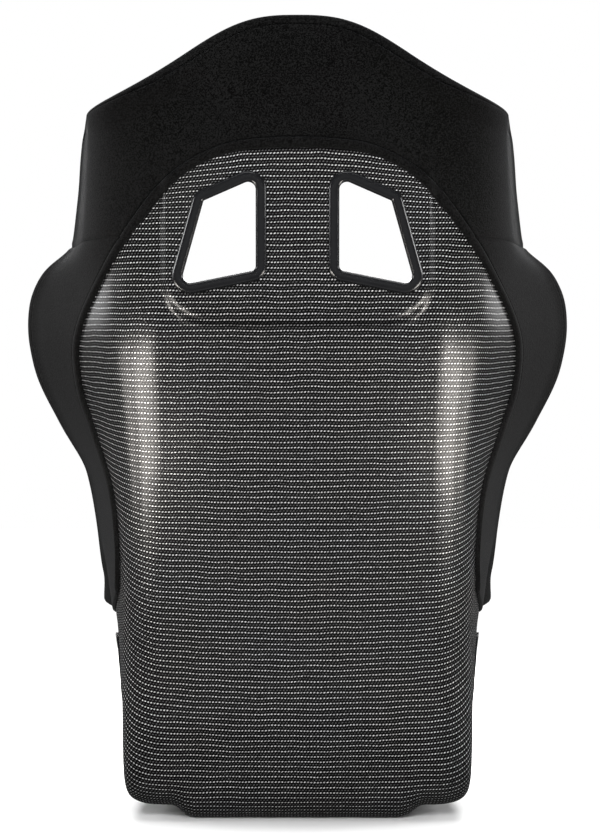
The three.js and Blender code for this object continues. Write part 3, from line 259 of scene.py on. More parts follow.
def base(run, u):
    """Points of the face without the plateau and the keel."""
    run, u = np.broadcast_arrays(np.asarray(run, float), np.asarray(u, float))
    run = run - ear_drop(u) * smooth(run, RUN_END - EAR_REACH, RUN_END)
    my, mz, ry, rz = mid_y(run), mid_z(run), rim_y(run), rim_z(run)
    uy, uz = mid_y(run + 1) - my, mid_z(run + 1) - mz
    length = np.hypot(uy, uz)
    uy, uz = uy / length, uz / length
    depth = np.hypot(ry - my, rz - mz)
    side, edge = side_x(run), edge_x(run)
    straight, camber, width, fall = corner_shape(run, depth)
    wall_start = camber + fall
    wx, wy = straight * (edge - side), depth - wall_start
    length = np.hypot(wx, wy)
    wx, wy = wx / length, wy / length
    a = np.abs(u)
    t = np.clip(a - 1, 0, 1)
    b0, b1, b2, b3 = (1 - t) ** 3, 3 * t * (1 - t) ** 2, 3 * t * t * (1 - t), t ** 3
    handle = lerp(0.75, 0.55, straight)
    cx = b0 * FLAT_HALF + b1 * (FLAT_HALF + handle * width) + b2 * (side - handle * fall * wx) + b3 * side
    cd = b0 * camber + b1 * (camber + handle * width * 2 * camber / FLAT_HALF)
    cd = cd + b2 * (wall_start - handle * fall * wy) + b3 * wall_start
    w = np.clip(a - 2, 0, 1)
    hip = (1 - straight) * np.minimum(HIP_STEP, 0.6 * (edge - side))
    turn_out = straight * w + (1 - straight) * smooth(w, 0.78, 1)
    wall_x = side + hip * smooth(w, 0.34, 0.62) + (edge - side - hip) * turn_out
    x = np.where(a <= 1, a * FLAT_HALF, np.where(a <= 2, cx, wall_x))
    d = np.where(a <= 1, camber * a * a, np.where(a <= 2, cd, lerp(wall_start, depth, w)))
    share = d / depth
    sag = head_sag(x, run) - share * head_sag(edge, run)
    return np.stack([np.sign(u) * x, lerp(my, ry, share) - sag * uy, lerp(mz, rz, share) - sag * uz], -1)


def unit(v):
    return v / np.maximum(np.linalg.norm(v, axis=-1, keepdims=True), 1e-9)


def normal(run, u):
    """Unit normals that point out of the back."""
    run, u = np.broadcast_arrays(np.asarray(run, float), np.asarray(u, float))
    along = base(np.minimum(run + 1.5, RUN_END), u) - base(np.minimum(run, RUN_END - 1.5) - 1.5, u)
    across = base(run, np.minimum(u + 0.02, 3)) - base(run, np.maximum(u - 0.02, -3))
    return -unit(np.cross(across, along))


def raise_at(point, run):
    """How far the plateau and the keel stand out at a point of the face."""
    x = np.abs(point[..., 0])
    qx = x - (PLATEAU_HALF - PLATEAU_CORNER)
    qy = PLATEAU_BOTTOM - run + PLATEAU_CORNER
    box = np.hypot(np.maximum(qx, 0), np.maximum(qy, 0)) + np.minimum(np.maximum(qx, qy), 0) - PLATEAU_CORNER
    fade = 1 - smooth(run, RUN_PLATEAU_TOP, RUN_PLATEAU_TOP + 60)
    plateau = PLATEAU_RAISE * (1 - smooth(box, -PLATEAU_STEP, 0)) * fade
    keel = 1 - smooth(x, KEEL_HALF - KEEL_STEP, KEEL_HALF)
    keel = keel * smooth(run, RUN_CORNER - KEEL_LENGTH - KEEL_STEP, RUN_CORNER - KEEL_LENGTH)
    return plateau + KEEL_DEPTH * keel * (1 - smooth(run, RUN_CORNER, RUN_FOOT))


def shell(run, u, off=0.0):
    """Points that stand off the outer face, or inside it where off is negative."""
    point = base(run, u)
    lift = raise_at(point, np.asarray(run, float)) + off
    return point + normal(run, u) * lift[..., None]


def face_xz(run, u):
    return shell(run, u)[..., [0, 2]]


def locate(x, z, rows, columns):
    """The (run, u) whose face point has that x and z, for arrays x and z, with x of one sign."""
    run, u = np.meshgrid(rows, columns, indexing="ij")
    grid = face_xz(run, u)
    found = []
    for px, pz in zip(x, z):
        i = np.argmin((grid[..., 0] - px) ** 2 + (grid[..., 1] - pz) ** 2)
        r, c = run.flat[i], u.flat[i]
        for _ in range(12):
            here = face_xz(np.array([r, r + 0.5, r]), np.array([c, c, c + 0.005]))
            j = np.array([(here[1] - here[0]) / 0.5, (here[2] - here[0]) / 0.005]).T
            step = np.linalg.lstsq(j, np.array([px, pz]) - here[0], rcond=None)[0]
            r = float(np.clip(r + np.clip(step[0], -15, 15), rows[0], rows[-1]))
            c = float(np.clip(c + np.clip(step[1], -0.15, 0.15), columns[0], columns[-1]))
        found.append((r, c))
    return np.array(found)


# ---- Meshes ----


def to_packed(points):
    """Millimetres to metres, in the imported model's frame."""
    points = np.asarray(points, float).reshape(-1, 3) + np.array([0, SHIFT_Y, 0])
    return points * 0.001


def add_object(name, data):
    obj = bpy.data.objects.new(name, data)
    scene.collection.objects.link(obj)
    return obj


def make_object(name, points, faces, uv=None):
    mesh = bpy.data.meshes.new(name)
    mesh.from_pydata(to_packed(points).tolist(), [], [list(map(int, f)) for f in faces])
    if uv is not None:
        layer = mesh.uv_layers.new(name="Place")
        loops = np.empty(len(mesh.loops), dtype=np.int32)
        mesh.loops.foreach_get("vertex_index", loops)
        layer.data.foreach_set("uv", np.asarray(uv, np.float32)[loops].ravel())
    mesh.validate()
    obj = add_object(name, mesh)
    fix_normals(obj)
    return obj


def fix_normals(obj):
    work = bmesh.new()
    work.from_mesh(obj.data)
    bmesh.ops.recalc_face_normals(work, faces=work.faces)
    if work.calc_volume(signed=True) < 0:
        bmesh.ops.reverse_faces(work, faces=work.faces)
    work.to_mesh(obj.data)
    work.free()
    obj.data.update()


def soften(obj, angle):
    obj.data.shade_smooth()
    obj.data.set_sharp_from_angle(angle=math.radians(angle))


def grid_faces(rows, cols, start=0, close_rows=False, close_cols=False):
    i = np.arange(rows if close_rows else rows - 1)
    j = np.arange(cols if close_cols else cols - 1)
    i, j = [k.ravel() for k in np.meshgrid(i, j, indexing="ij")]
    ni, nj = (i + 1) % rows, (j + 1) % cols
    return start + np.stack([i * cols + j, i * cols + nj, ni * cols + nj, ni * cols + j], -1)


def tube(name, loops, closed=False):
    """A skin through closed loops of points, (loops, points, 3), capped at both ends or closed on itself."""
    count, size = loops.shape[:2]
    faces = grid_faces(count, size, close_rows=closed, close_cols=True).tolist()
    if not closed:
        faces.append(list(range(size)))
        faces.append([(count - 1) * size + k for k in reversed(range(size))])
    return make_object(name, loops.reshape(-1, 3), faces)


def plate(name, upper, lower, uv=None):
    """A closed plate between two grids of points, (rows, columns, 3)."""
    rows, cols = upper.shape[:2]
    index = np.arange(rows * cols).reshape(rows, cols)
    ring = np.concatenate([index[0], index[1:, -1], index[-1, -2::-1], index[-2:0:-1, 0]])
    after = np.roll(ring, -1)
    faces = [
        grid_faces(rows, cols), grid_faces(rows, cols, rows * cols)[:, ::-1],
        np.stack([ring, ring + rows * cols, after + rows * cols, after], -1),
    ]
    points = np.concatenate([upper.reshape(-1, 3), lower.reshape(-1, 3)])
    return make_object(name, points, np.concatenate(faces).tolist(), uv)


def distances(points):
    """Distance along each path of points, (..., points, 3), at each of its points."""
    steps = np.linalg.norm(np.diff(points, axis=-2), axis=-1)
    return np.concatenate([np.zeros(steps.shape[:-1] + (1,)), np.cumsum(steps, axis=-1)], axis=-1)


def even(points, at, count):
    """The points at count even steps of at, the distance that belongs to each of them."""
    steps = np.linspace(0, at[-1], count)
    return np.stack([np.interp(steps, at, column) for column in points.T], -1)


def apply_modifiers(obj):
    graph = bpy.context.evaluated_depsgraph_get()
    mesh = bpy.data.meshes.new_from_object(obj.evaluated_get(graph), depsgraph=graph)
    old = obj.data
    obj.modifiers.clear()
    obj.data = mesh
    mesh.name = obj.name
    bpy.data.meshes.remove(old)


def cut_with(obj, *cutters):
    for cutter in cutters:
        modifier = obj.modifiers.new("cut", "BOOLEAN")
        modifier.operation = "DIFFERENCE"
        modifier.solver = "EXACT"
        modifier.object = cutter
    bpy.context.view_layer.update()
    apply_modifiers(obj)
    for cutter in cutters:
        bpy.data.objects.remove(cutter)


def dress(obj, material, body, slot, *nodes):
    obj.data.materials.clear()
    obj.data.materials.append(material)
    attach(obj, body)
    if nodes:
        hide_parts(*nodes)
    return obj


# ---- Materials ----


class Nodes:
    """A material's node tree, with short calls to build it."""

    INPUTS = {
        "color": "Base Color", "rough": "Roughness", "metal": "Metallic", "normal": "Normal",
        "coat": "Coat Weight", "coat_rough": "Coat Roughness", "sheen": "Sheen Weight",
        "sheen_rough": "Sheen Roughness", "sheen_tint": "Sheen Tint", "spec": "Specular IOR Level",
    }

    def __init__(self, name):
        self.material = bpy.data.materials.new(name)
        self.material.use_nodes = True
        self.tree = self.material.node_tree
        self.shader = self.tree.nodes["Principled BSDF"]

    def add(self, kind, inputs=None, **settings):
        node = self.tree.nodes.new("ShaderNode" + kind)
        for key, value in settings.items():
            setattr(node, key, value)
        for key, value in (inputs or {}).items():
            self.put(node.inputs[key], value)
        return node

    def put(self, socket, value):
        if isinstance(value, bpy.types.NodeSocket):
            self.tree.links.new(value, socket)
        else:
            socket.default_value = value

    def math(self, operation, *values, clamp=False):
        node = self.add("Math", operation=operation, use_clamp=clamp)
        for socket, value in zip(node.inputs, values):
            self.put(socket, value)
        return node.outputs[0]

    def mix(self, share, a, b):
        node = self.add("Mix", data_type="RGBA")
        self.put(node.inputs[0], share)
        self.put(node.inputs[6], a)
        self.put(node.inputs[7], b)
        return node.outputs[2]

    def place(self):
        return self.add("TexCoord").outputs["Object"]

    def noise(self, place, scale, detail, **more):
        return self.add("TexNoise", {"Vector": place, "Scale": scale, "Detail": detail, **more}).outputs[0]

    def cells(self, place, scale):
        return self.add("TexVoronoi", {"Vector": place, "Scale": scale}).outputs[0]

    def bump(self, strength, distance, height):
        return self.add("Bump", {"Strength": strength, "Distance": distance, "Height": height}).outputs[0]

    def set(self, **values):
        for key, value in values.items():
            self.put(self.shader.inputs[self.INPUTS[key]], value)
        return self.material


def grey(value):
    return (value, value, value, 1)


WEAVE_ROW, WEAVE_COLUMN = 3.1, 3.66  # mm, along and across the face
WEAVE_SLANT = 0.45  # of a column, over one row
WEAVE_DRIFT = 3.0  # mm, how far the tows wander


def carbon_material():
    """Plain-woven carbon under clear lacquer, with the shine of its tows painted into the base colour. Place
    holds the distances across and along the face, in mm.
    """
    n = Nodes("carbon_weave")
    place = n.add("UVMap", uv_map="Place").outputs[0]
    ripple = n.add("TexNoise", {"Vector": place, "Scale": 0.03, "Detail": 1.0}).outputs["Color"]
    bend = n.add("VectorMath", {0: ripple, 1: (0.5, 0.5, 0.5)}, operation="SUBTRACT").outputs[0]
    drift = n.add("VectorMath", {0: bend, "Scale": WEAVE_DRIFT}, operation="SCALE").outputs[0]
    laid = n.add("VectorMath", {0: place, 1: drift}, operation="ADD").outputs[0]
    xyz = n.add("SeparateXYZ", {0: laid})
    rows = n.math("DIVIDE", xyz.outputs[1], WEAVE_ROW)
    columns = n.math("DIVIDE", xyz.outputs[0], WEAVE_COLUMN)
    odd = n.math("MODULO", n.math("ABSOLUTE", n.math("FLOOR", rows)), 2.0)
    slant = n.math("MULTIPLY", n.math("FRACT", rows), WEAVE_SLANT)
    phase = n.math("ADD", slant, n.math("MULTIPLY_ADD", odd, 0.5, columns))
    across = n.math("MULTIPLY_ADD", n.math("COSINE", n.math("MULTIPLY", phase, 2 * math.pi)), 0.5, 0.5)
    bulge = n.math("ABSOLUTE", n.math("SINE", n.math("MULTIPLY", rows, math.pi)))
    # Painted glints: the shine of the tows is put into the base colour as bright dashes on black, and every
    # other row is painted darker, since the tows that run the other way catch less light. The tow noise and
    # the warm or cool tint vary the dashes at random.
    dash = n.math("MULTIPLY", n.math("POWER", across, 1.1), n.math("POWER", bulge, 3.4))
    dome = n.math("MULTIPLY", n.math("POWER", across, 1.2), n.math("POWER", bulge, 0.8))
    coarse = n.noise(place, 0.012, 2.0)
    tow = n.math("MULTIPLY_ADD", n.noise(laid, 0.4, 1.0), 2.2, -0.15)
    glint_gain = n.math("MULTIPLY", n.math("MULTIPLY_ADD", odd, -0.87, 1.0), tow)
    painted_glint = n.math("MULTIPLY", n.math("POWER", dash, 1.45), glint_gain, clamp=True)
    warm = n.mix(coarse, (0.9, 0.86, 0.82, 1), (0.84, 0.86, 0.9, 1))
    color = n.mix(painted_glint, (0.0005, 0.0005, 0.0006, 1), warm)
    bump = n.bump(0.3, 0.0003, dome)
    return n.set(color=color, metal=0.16, rough=0.36, normal=bump, spec=0.0, coat=0.3, coat_rough=0.27)


def fabric_material(name, dark, light, scale, sheen):
    """Close woven cloth: a fine crossed grain, a little fuzz and slow shading."""
    n = Nodes(name)
    place = n.place()
    grain = n.noise(place, scale, 3.0, Roughness=0.6)
    slow = n.noise(place, 9.0, 2.0)
    height = n.math("MULTIPLY_ADD", n.cells(place, scale * 0.9), -0.6, grain)
    shade = n.math("MULTIPLY", slow, 0.9)
    share = n.math("MULTIPLY_ADD", n.math("SUBTRACT", grain, 0.5), 6.5, shade, clamp=True)
    color = n.mix(share, grey(dark), grey(light))
    return n.set(color=color, rough=0.93, normal=n.bump(0.55, 0.0006, height), sheen=sheen,
                 sheen_rough=0.45, sheen_tint=(0.8, 0.82, 0.86, 1), spec=0.08)


def plastic_material():
    n = Nodes("bezel_plastic")
    wear = n.noise(n.place(), 45.0, 4.0)
    color = n.mix(wear, (0.003, 0.003, 0.0035, 1), (0.008, 0.0085, 0.010, 1))
    rough = n.math("MULTIPLY_ADD", wear, 0.1, 0.2)
    return n.set(color=color, rough=rough, normal=n.bump(0.05, 0.0004, wear), spec=0.5)


def rubber_material():
    n = Nodes("trim_rubber")
    grain = n.noise(n.place(), 700.0, 3.0)
    color = n.mix(grain, grey(0.006), grey(0.018))
    return n.set(color=color, rough=0.62, normal=n.bump(0.2, 0.0003, grain))


def metal_material(name, dark, light, rough, stretch):
    n = Nodes(name)
    brushed = n.add("Mapping", {"Vector": n.place(), "Scale": stretch}).outputs[0]
    lines = n.noise(brushed, 60.0, 4.0)
    color = n.mix(lines, grey(dark), grey(light))
    rough = n.math("MULTIPLY_ADD", lines, 0.15, rough)
    return n.set(color=color, metal=1.0, rough=rough, normal=n.bump(0.1, 0.0001, lines))


def tape_material():
    n = Nodes("hook_tape")
    hooks = n.cells(n.place(), 650.0)
    color = n.mix(hooks, grey(0.003), grey(0.02))
    return n.set(color=color, rough=0.9, normal=n.bump(0.9, 0.0008, hooks), sheen=0.2)


CARBON = carbon_material()
COVER_CLOTH = fabric_material("cover_cloth", 0.0006, 0.0075, 620.0, 0.03)
PAD_CLOTH = fabric_material("pad_cloth", 0.0015, 0.013, 500.0, 0.05)
CUSHION_CLOTH = fabric_material("cushion_cloth", 0.002, 0.018, 460.0, 0.05)
PLASTIC = plastic_material()
RUBBER = rubber_material()
ALUMINIUM = metal_material("plate_aluminium", 0.30, 0.5, 0.32, (1, 9, 1))
STEEL = metal_material("insert_steel", 0.32, 0.48, 0.28, (6, 6, 6))
TAPE = tape_material()

# ---- Shell ----


def spaced(start, *stretches):
    """Values from start on, in stretches of (end, count), with the very last end."""
    parts = []
    for end, count in stretches:
        parts.append(np.linspace(start, end, count, endpoint=False))
        start = end
    return np.concatenate(parts + [[start]])


half_u = spaced(0, (0.85, 12), (1.02, 9), (2, 16), (2.34, 5), (2.62, 8), (3, 8))
FINE_U = np.concatenate([-half_u[:0:-1], half_u])
KEEL_FRONT = RUN_CORNER - KEEL_LENGTH
FINE_RUN = spaced(
    0, (KEEL_FRONT - KEEL_STEP, 26), (KEEL_FRONT, 6), (RUN_CORNER, 14), (RUN_FOOT, 14),
    (PLATEAU_BOTTOM - 4, 44), (PLATEAU_BOTTOM + 18, 10), (PLATEAU_BOTTOM + 60, 8), (RUN_PLATEAU_TOP, 10),
    (RUN_END, 16),
)


def face_places(run, u, points):
    """Distances across and along the face, in mm, for the weave."""
    across = distances(points)
    across = across - across[:, len(u) // 2][:, None]
    return np.stack([across, np.broadcast_to(run[:, None], across.shape)], -1)


def placed(outline, height, matrix):
    """An outline of (x, y) at a height, in the frame of a 4x4 matrix."""
    local = np.column_stack([outline, np.full(len(outline), height), np.ones(len(outline))])
    return (local @ matrix.T)[:, :3]


def prism(outline, matrix, start, end):
    """A closed prism on an outline, in the frame of a 4x4 matrix, between two local heights."""
    return tube("prism", np.array([placed(outline, height, matrix) for height in (start, end)]))


def rounded(corners, arc, inset=0.0):
    """A polygon of (x, y, radius) corners, rounded and drawn in by inset."""
    pts = np.array([c[:2] for c in corners], float)
    area = sum(np.cross(pts[i - 1], pts[i]) for i in range(len(pts)))
    turn = np.sign(area)
    out = []
    for i, (x, y, radius) in enumerate(corners):
        before = unit(pts[i] - pts[i - 1])
        after = unit(pts[(i + 1) % len(pts)] - pts[i])
        nb = turn * np.array([-before[1], before[0]])
        na = turn * np.array([-after[1], after[0]])
        bisector = unit(nb + na)
        reach = 1 / (bisector @ nb)
        r = max(radius - inset, 0.5)
        centre = np.array([x, y]) + bisector * reach * (inset + r)
        start = math.atan2(-nb[1], -nb[0])
        sweep = math.atan2(np.cross(nb, na), nb @ na)
        for angle in np.linspace(start, start + sweep, arc + 1):
            out.append(centre + r * np.array([math.cos(angle), math.sin(angle)]))
    return np.array(out) if turn > 0 else np.array(out)[::-1]


def frame_matrix(origin, x_axis, y_axis, z_axis):
    matrix = np.eye(4)
    matrix[:3, 0], matrix[:3, 1], matrix[:3, 2], matrix[:3, 3] = x_axis, y_axis, z_axis, origin
    return matrix


plateau_up = np.array([0, math.sin(PLATEAU_LEAN), math.cos(PLATEAU_LEAN)])
plateau_out = np.array([0, math.cos(PLATEAU_LEAN), -math.sin(PLATEAU_LEAN)])
plateau_origin = base(RUNS[13], 0.0) + plateau_out * PLATEAU_RAISE
PLATEAU = frame_matrix(plateau_origin, (-1, 0, 0), plateau_up, plateau_out)
SHOULDER_SLOT = ((33.5, 158, 20), (33.5, 31, 17), (144, 9, 20), (111.5, 124, 14))  # x, height, radius


def shoulder_outline(sign, inset):
    return rounded([(-sign * x, y, radius) for x, y, radius in SHOULDER_SLOT], 14, inset)


LAP_Y, LAP_Z, LAP_TILT = -108.0, 166.0, math.radians(35)
CROTCH_Y = pan_front + 34
LAP_SLOT, CROTCH_SLOT = (84.0, 40.0), (96.0, 34.0)  # length and width


def slot_outline(slot, grow):
    """The round-ended outline of a lap or crotch slot, grown on all sides."""
    x, y = slot[0] / 2 + grow, slot[1] / 2 + grow
    return rounded([(x, y, y - 2), (-x, y, y - 2), (-x, -y, y - 2), (x, -y, y - 2)], 12)


def lap_matrix(sign):
    along = np.array([0, -math.cos(LAP_TILT), math.sin(LAP_TILT)])
    out = np.array([sign, 0, 0])
    return frame_matrix((0, LAP_Y, LAP_Z), along, np.cross(out, along), out)


CROTCH = frame_matrix((0, CROTCH_Y, PAN_Z), (1, 0, 0), (0, 1, 0), (0, 0, 1))
turns = np.linspace(0, 2 * math.pi, 32, False)
BOLT_HOLE = MOUNT_HOLE * np.stack([np.cos(turns), np.sin(turns)], -1)


def make_shell():
    run, u = FINE_RUN, FINE_U
    outer = shell(run[:, None], u[None])
    inner = shell(run[:, None], u[None], -THICK)
    uv = face_places(run, u, outer).reshape(-1, 2)
    obj = plate("shell_skin", outer, inner, np.concatenate([uv, uv]))
    wall = BEZEL_WALL + GAP
    cutters = [prism(slot_outline(CROTCH_SLOT, wall), CROTCH, -30, 30)]
    for _, sign in SIDES:
        cutters.append(prism(shoulder_outline(sign, BEZEL_FACE - wall), PLATEAU, -30, 30))
        cutters.append(prism(slot_outline(LAP_SLOT, wall), lap_matrix(sign), 150, 260))
        for y in (-MOUNT_REAR, -MOUNT_REAR - MOUNT_SPACING):
            centre = (sign * MOUNT_HALF, y, MOUNT_HEIGHT)
            matrix = frame_matrix(centre, (0, 1, 0), (0, 0, sign), (sign, 0, 0))
            cutters.append(prism(BOLT_HOLE, matrix, -12, 12))
    cut_with(obj, *cutters)
    soften(obj, 40)
    dress(obj, CARBON, "seat", "carbon", "shell")


make_shell()

# ---- Edge covers ----

RUN_SEAM = run_at(rim_z, plateau_foot[1] + SEAM_RISE)
RUN_TONGUE = run_at(rim_z, TONGUE_HEIGHT + 26)
hem_top = plateau_top[1] - HEM_DROP
HEM = np.array([
    (0, 1), (PLATEAU_HALF - 83, 0.992), (PLATEAU_HALF - 28, 0.945), (PLATEAU_HALF + 19, 0.85),
    (PLATEAU_HALF + 63, 0.735), (SHOULDER_HALF - 66, 0.629), (SHOULDER_HALF - 66, 0.527),
    (SHOULDER_HALF - 81, 0.432), (MOUNT_HALF + 9, 0.307), (MOUNT_HALF + 2, 0.186), (MOUNT_HALF + 3, 0.091),
])


def spline(points, count):
    """Catmull-Rom through the points."""
    points = np.asarray(points, float)
    padded = np.vstack([2 * points[0] - points[1], points, 2 * points[-1] - points[-2]])
    t = np.linspace(0, len(points) - 1, count)
    i = np.minimum(t.astype(int), len(points) - 2)
    f = (t - i)[:, None]
    p0, p1, p2, p3 = (padded[i + k] for k in range(4))
    return 0.5 * (2 * p1 + (p2 - p0) * f + (2 * p0 - 5 * p1 + 4 * p2 - p3) * f ** 2
                  + (3 * p1 - p0 - 3 * p2 + p3) * f ** 3)


hem_xz = np.array([(x, lerp(TONGUE_HEIGHT - 2, hem_top, share)) for x, share in HEM])
hem_curve = spline(hem_xz, 90)
hem_places = locate(hem_curve[:, 0], hem_curve[:, 1], np.linspace(RUN_CORNER, RUN_END, 160),
                    np.linspace(0, 3, 90))
seam_at = int(np.argmin(np.abs(hem_places[:, 0] - RUN_SEAM)))

# Where the loops have their points, in mm from the hem, from the edge, and from the edge inside the shell
HEM_STEPS = np.array([0, 0.25, 0.7, 1.4, 2.4, 4, 6, 8, 9.6, 10.8, 11.5, 12, 12.5, 13.2, 14.4, 16.5])
EDGE_STEPS = np.array([16, 12.5, 10.2, 9, 8.3, 7.7, 7.2, 6.7, 6.1, 5.2, 4, 3, 2, 1, 0])
INNER_STEPS = np.array([2, 5, 9, 13, 17, 20, 22.5, 24])
MIDDLE_COUNT, NOSE_COUNT, PAIR_COUNT = 12, 11, 110

HEM_ROUND = 2.4  # the hem rises to full thickness over this
BAND_RISE, BAND_MIDDLE, BAND_HALF = 1.9, 6.0, 6.5  # raised band along the hem
GROOVE_DEPTH, GROOVE_MIDDLE, GROOVE_HALF = 2.4, 12.0, 0.8  # sewn groove beside the band
SEAM_DEPTH, SEAM_DEPTH_TOP, SEAM_MIDDLE, SEAM_HALF = 0.5, 1.6, 7.2, 0.7  # seam beside the edge
ROLL_REACH, BULB_REACH = 22.0, 45.0  # how far the roll and the tongue's bulb reach from the edge
SEAM_END, TONGUE_END = (2.5, 0.7), (13.0, 0.12)  # reach and floor of the tapers


def on_base(places):
    return base(places[..., 0], places[..., 1])


def cover(name, hem, edge, seam_depth, taper, bulb=0.0):
    """A cloth cover from its hem on the back, round the shell's edge, to its lip inside.

    hem and edge are arrays of (run, u) in pairs. seam_depth, taper and bulb have a value for each pair: the
    depth of the seam beside the edge, the share of the thickness, and the extra thickness of the roll
    outside the shell's edge."""
    count = len(hem)
    bulb = np.broadcast_to(bulb, (count,))[:, None]
    taper = taper[:, None]

    def way(shares):
        return hem[:, None] + (edge - hem)[:, None] * shares[..., None]

    share = np.linspace(0, 1, 41)
    at = distances(on_base(way(share[None])))
    total = at[:, -1]
    scale = np.minimum(1, total / 60)[:, None]
    from_hem = HEM_STEPS[None] * scale
    from_edge = EDGE_STEPS[None] * scale
    inner_share = np.linspace(0, 1, MIDDLE_COUNT + 2)[1:-1][None]
    middle = lerp(from_hem[:, -1:], total[:, None] - from_edge[:, :1], inner_share)
    distance = np.concatenate([from_hem, middle, total[:, None] - from_edge], axis=1)
    spots = way(np.array([np.interp(distance[k], at[k], share) for k in range(count)]))
    run, u = spots[..., 0], spots[..., 1]
    d_hem, d_edge = distance / scale, total[:, None] - distance

    rise = np.sqrt(np.clip(1 - (1 - np.clip(d_hem / HEM_ROUND, 0, 1)) ** 2, 0, 1))
    band = BAND_RISE * np.clip(1 - ((d_hem - BAND_MIDDLE) / BAND_HALF) ** 2, 0, 1)
    groove = GROOVE_DEPTH * np.exp(-((d_hem - GROOVE_MIDDLE) / GROOVE_HALF) ** 2)
    puff = (ROLL - FLAP) * smooth(1 - d_edge / ROLL_REACH, 0, 1)
    swollen = bulb * smooth(1 - d_edge / BULB_REACH, 0, 1)
    seam = seam_depth[:, None] * np.exp(-((d_edge - SEAM_MIDDLE) / SEAM_HALF) ** 2)
    back = shell(run, u, GAP + ((FLAP + band - groove + puff + swollen) * rise - seam) * taper)

    face = normal(edge[:, 0], edge[:, 1])
    core = shell(edge[:, 0], edge[:, 1], -THICK / 2)
    away = unit(np.cross(unit(np.gradient(core, axis=0)), face))
    inward = on_base(lerp(hem, edge, 0.97))
    away = away * np.sign(np.sum(away * (on_base(edge) - inward), axis=1))[:, None]
    angle = np.linspace(math.pi / 2, -math.pi / 2, NOSE_COUNT + 2)[1:-1]
    half = (THICK / 2 + GAP) + (ROLL + bulb * (angle > 0)) * taper
    nose = GAP + ROLL * taper
    round_nose = core[:, None] + away[:, None] * (nose * np.cos(angle))[..., None]
    round_nose = round_nose + face[:, None] * (half * np.sin(angle))[..., None]

    back_in = INNER_STEPS[None] * np.minimum(1, total / (2 * ROLL_LIP))[:, None] * lerp(0.55, 1, taper)
    spots = way(np.array([np.interp(total[k] - back_in[k], at[k], share) for k in range(count)]))
    thick_in = ROLL * taper * np.sqrt(np.clip(1 - (INNER_STEPS / 24.6) ** 2, 0, 1))[None]
    lip = shell(spots[..., 0], spots[..., 1], -THICK - GAP - thick_in)
    lip_under = shell(spots[:, ::-2, 0], spots[:, ::-2, 1], -THICK - GAP * 0.8)
    under = THICK / 2 + GAP * 0.8
    turn = core[:, None] + away[:, None] * (GAP * np.array([0.7, 1.0, 0.7]))[None, :, None]
    turn = turn + face[:, None] * (np.array([-0.8, 0, 0.8]) * under)[None, :, None]
    back_under = shell(run[:, ::-3], u[:, ::-3], GAP * 0.7)
    obj = tube(name, np.concatenate([back, round_nose, lip, lip_under, turn, back_under], axis=1))
    soften(obj, 60)
    return obj


def end_taper(count, spacing, reach, floor):
    """1 along the piece, falling like a quarter circle over the first reach millimetres."""
    left = np.arange(count) * spacing
    t = np.clip(1 - left / reach, 0, 1)
    return floor + (1 - floor) * np.sqrt(np.clip(1 - t * t, 0.0, 1))


def make_head_cover():
    """One half from the middle to the seam, and its mirror image."""
    hem = even(hem_places[:seam_at + 1], distances(hem_places[:seam_at + 1]), 70)
    edge = np.concatenate([
        np.stack([np.full(60, RUN_END), np.linspace(0, 3, 60)], -1),
        np.stack([np.linspace(RUN_END, RUN_SEAM, 50)[1:], np.full(49, 3.0)], -1),
    ])
    at = distances(on_base(edge))
    mirror = np.array([1, -1])
    edge = even(edge, at, PAIR_COUNT)
    hem = even(hem, distances(on_base(hem)), PAIR_COUNT)
    hem = np.concatenate([hem[::-1], (hem * mirror)[1:]])
    edge = np.concatenate([edge[::-1], (edge * mirror)[1:]])
    end = end_taper(len(hem), at[-1] / PAIR_COUNT, *SEAM_END)
    seam_depth = SEAM_DEPTH + SEAM_DEPTH_TOP * smooth(edge[:, 0], RUN_END - 60, RUN_END - 10)
    obj = cover("head_cover_cloth", hem, edge, seam_depth, end * end[::-1])
    return dress(obj, COVER_CLOTH, "seat", "fabric", "head_cover")


def make_shoulder_cover(name, sign):
    hem = even(hem_places[seam_at:], distances(hem_places[seam_at:]), 100) * np.array([1, sign])
    edge = np.stack([np.linspace(RUN_SEAM, RUN_TONGUE, 200), np.full(200, 3.0 * sign)], -1)
    at = distances(on_base(edge))
    edge = even(edge, at, PAIR_COUNT)
    hem = even(hem, distances(hem), PAIR_COUNT)
    spacing = at[-1] / PAIR_COUNT
    taper = end_taper(PAIR_COUNT, spacing, *SEAM_END) * end_taper(PAIR_COUNT, spacing, *TONGUE_END)[::-1]
    left = np.arange(PAIR_COUNT)[::-1] * spacing
    bulb = TONGUE_BULB * (1 - smooth(left, 6, 55))
    obj = cover(f"shoulder_cover_cloth_{name}", hem, edge, np.full(PAIR_COUNT, SEAM_DEPTH), taper, bulb)
    return dress(obj, COVER_CLOTH, "seat", "fabric", f"shoulder_cover_{name}")


make_head_cover()
for side_name, side_sign in SIDES:
    make_shoulder_cover(side_name, side_sign)

# ---- Pads and cushions ----


def inside_rim(distance):
    """The u at a distance from the rim, for each run."""
    def at(run):
        ray_y, ray_z = rim_y(run) - mid_y(run), rim_z(run) - mid_z(run)
        depth = np.hypot(ray_y, ray_z)
        along_y, along_z = rim_y(run + 1) - rim_y(run - 1), rim_z(run + 1) - rim_z(run - 1)
        length = np.hypot(along_y, along_z)
        slant = np.abs(along_y * ray_z - along_z * ray_y) / (length * depth)
        _, camber, _, fall = corner_shape(run, depth)
        return 3 - distance / slant / (depth - camber - fall)
    return at


def constant(value):
    return lambda at: np.full(np.shape(at), float(value))


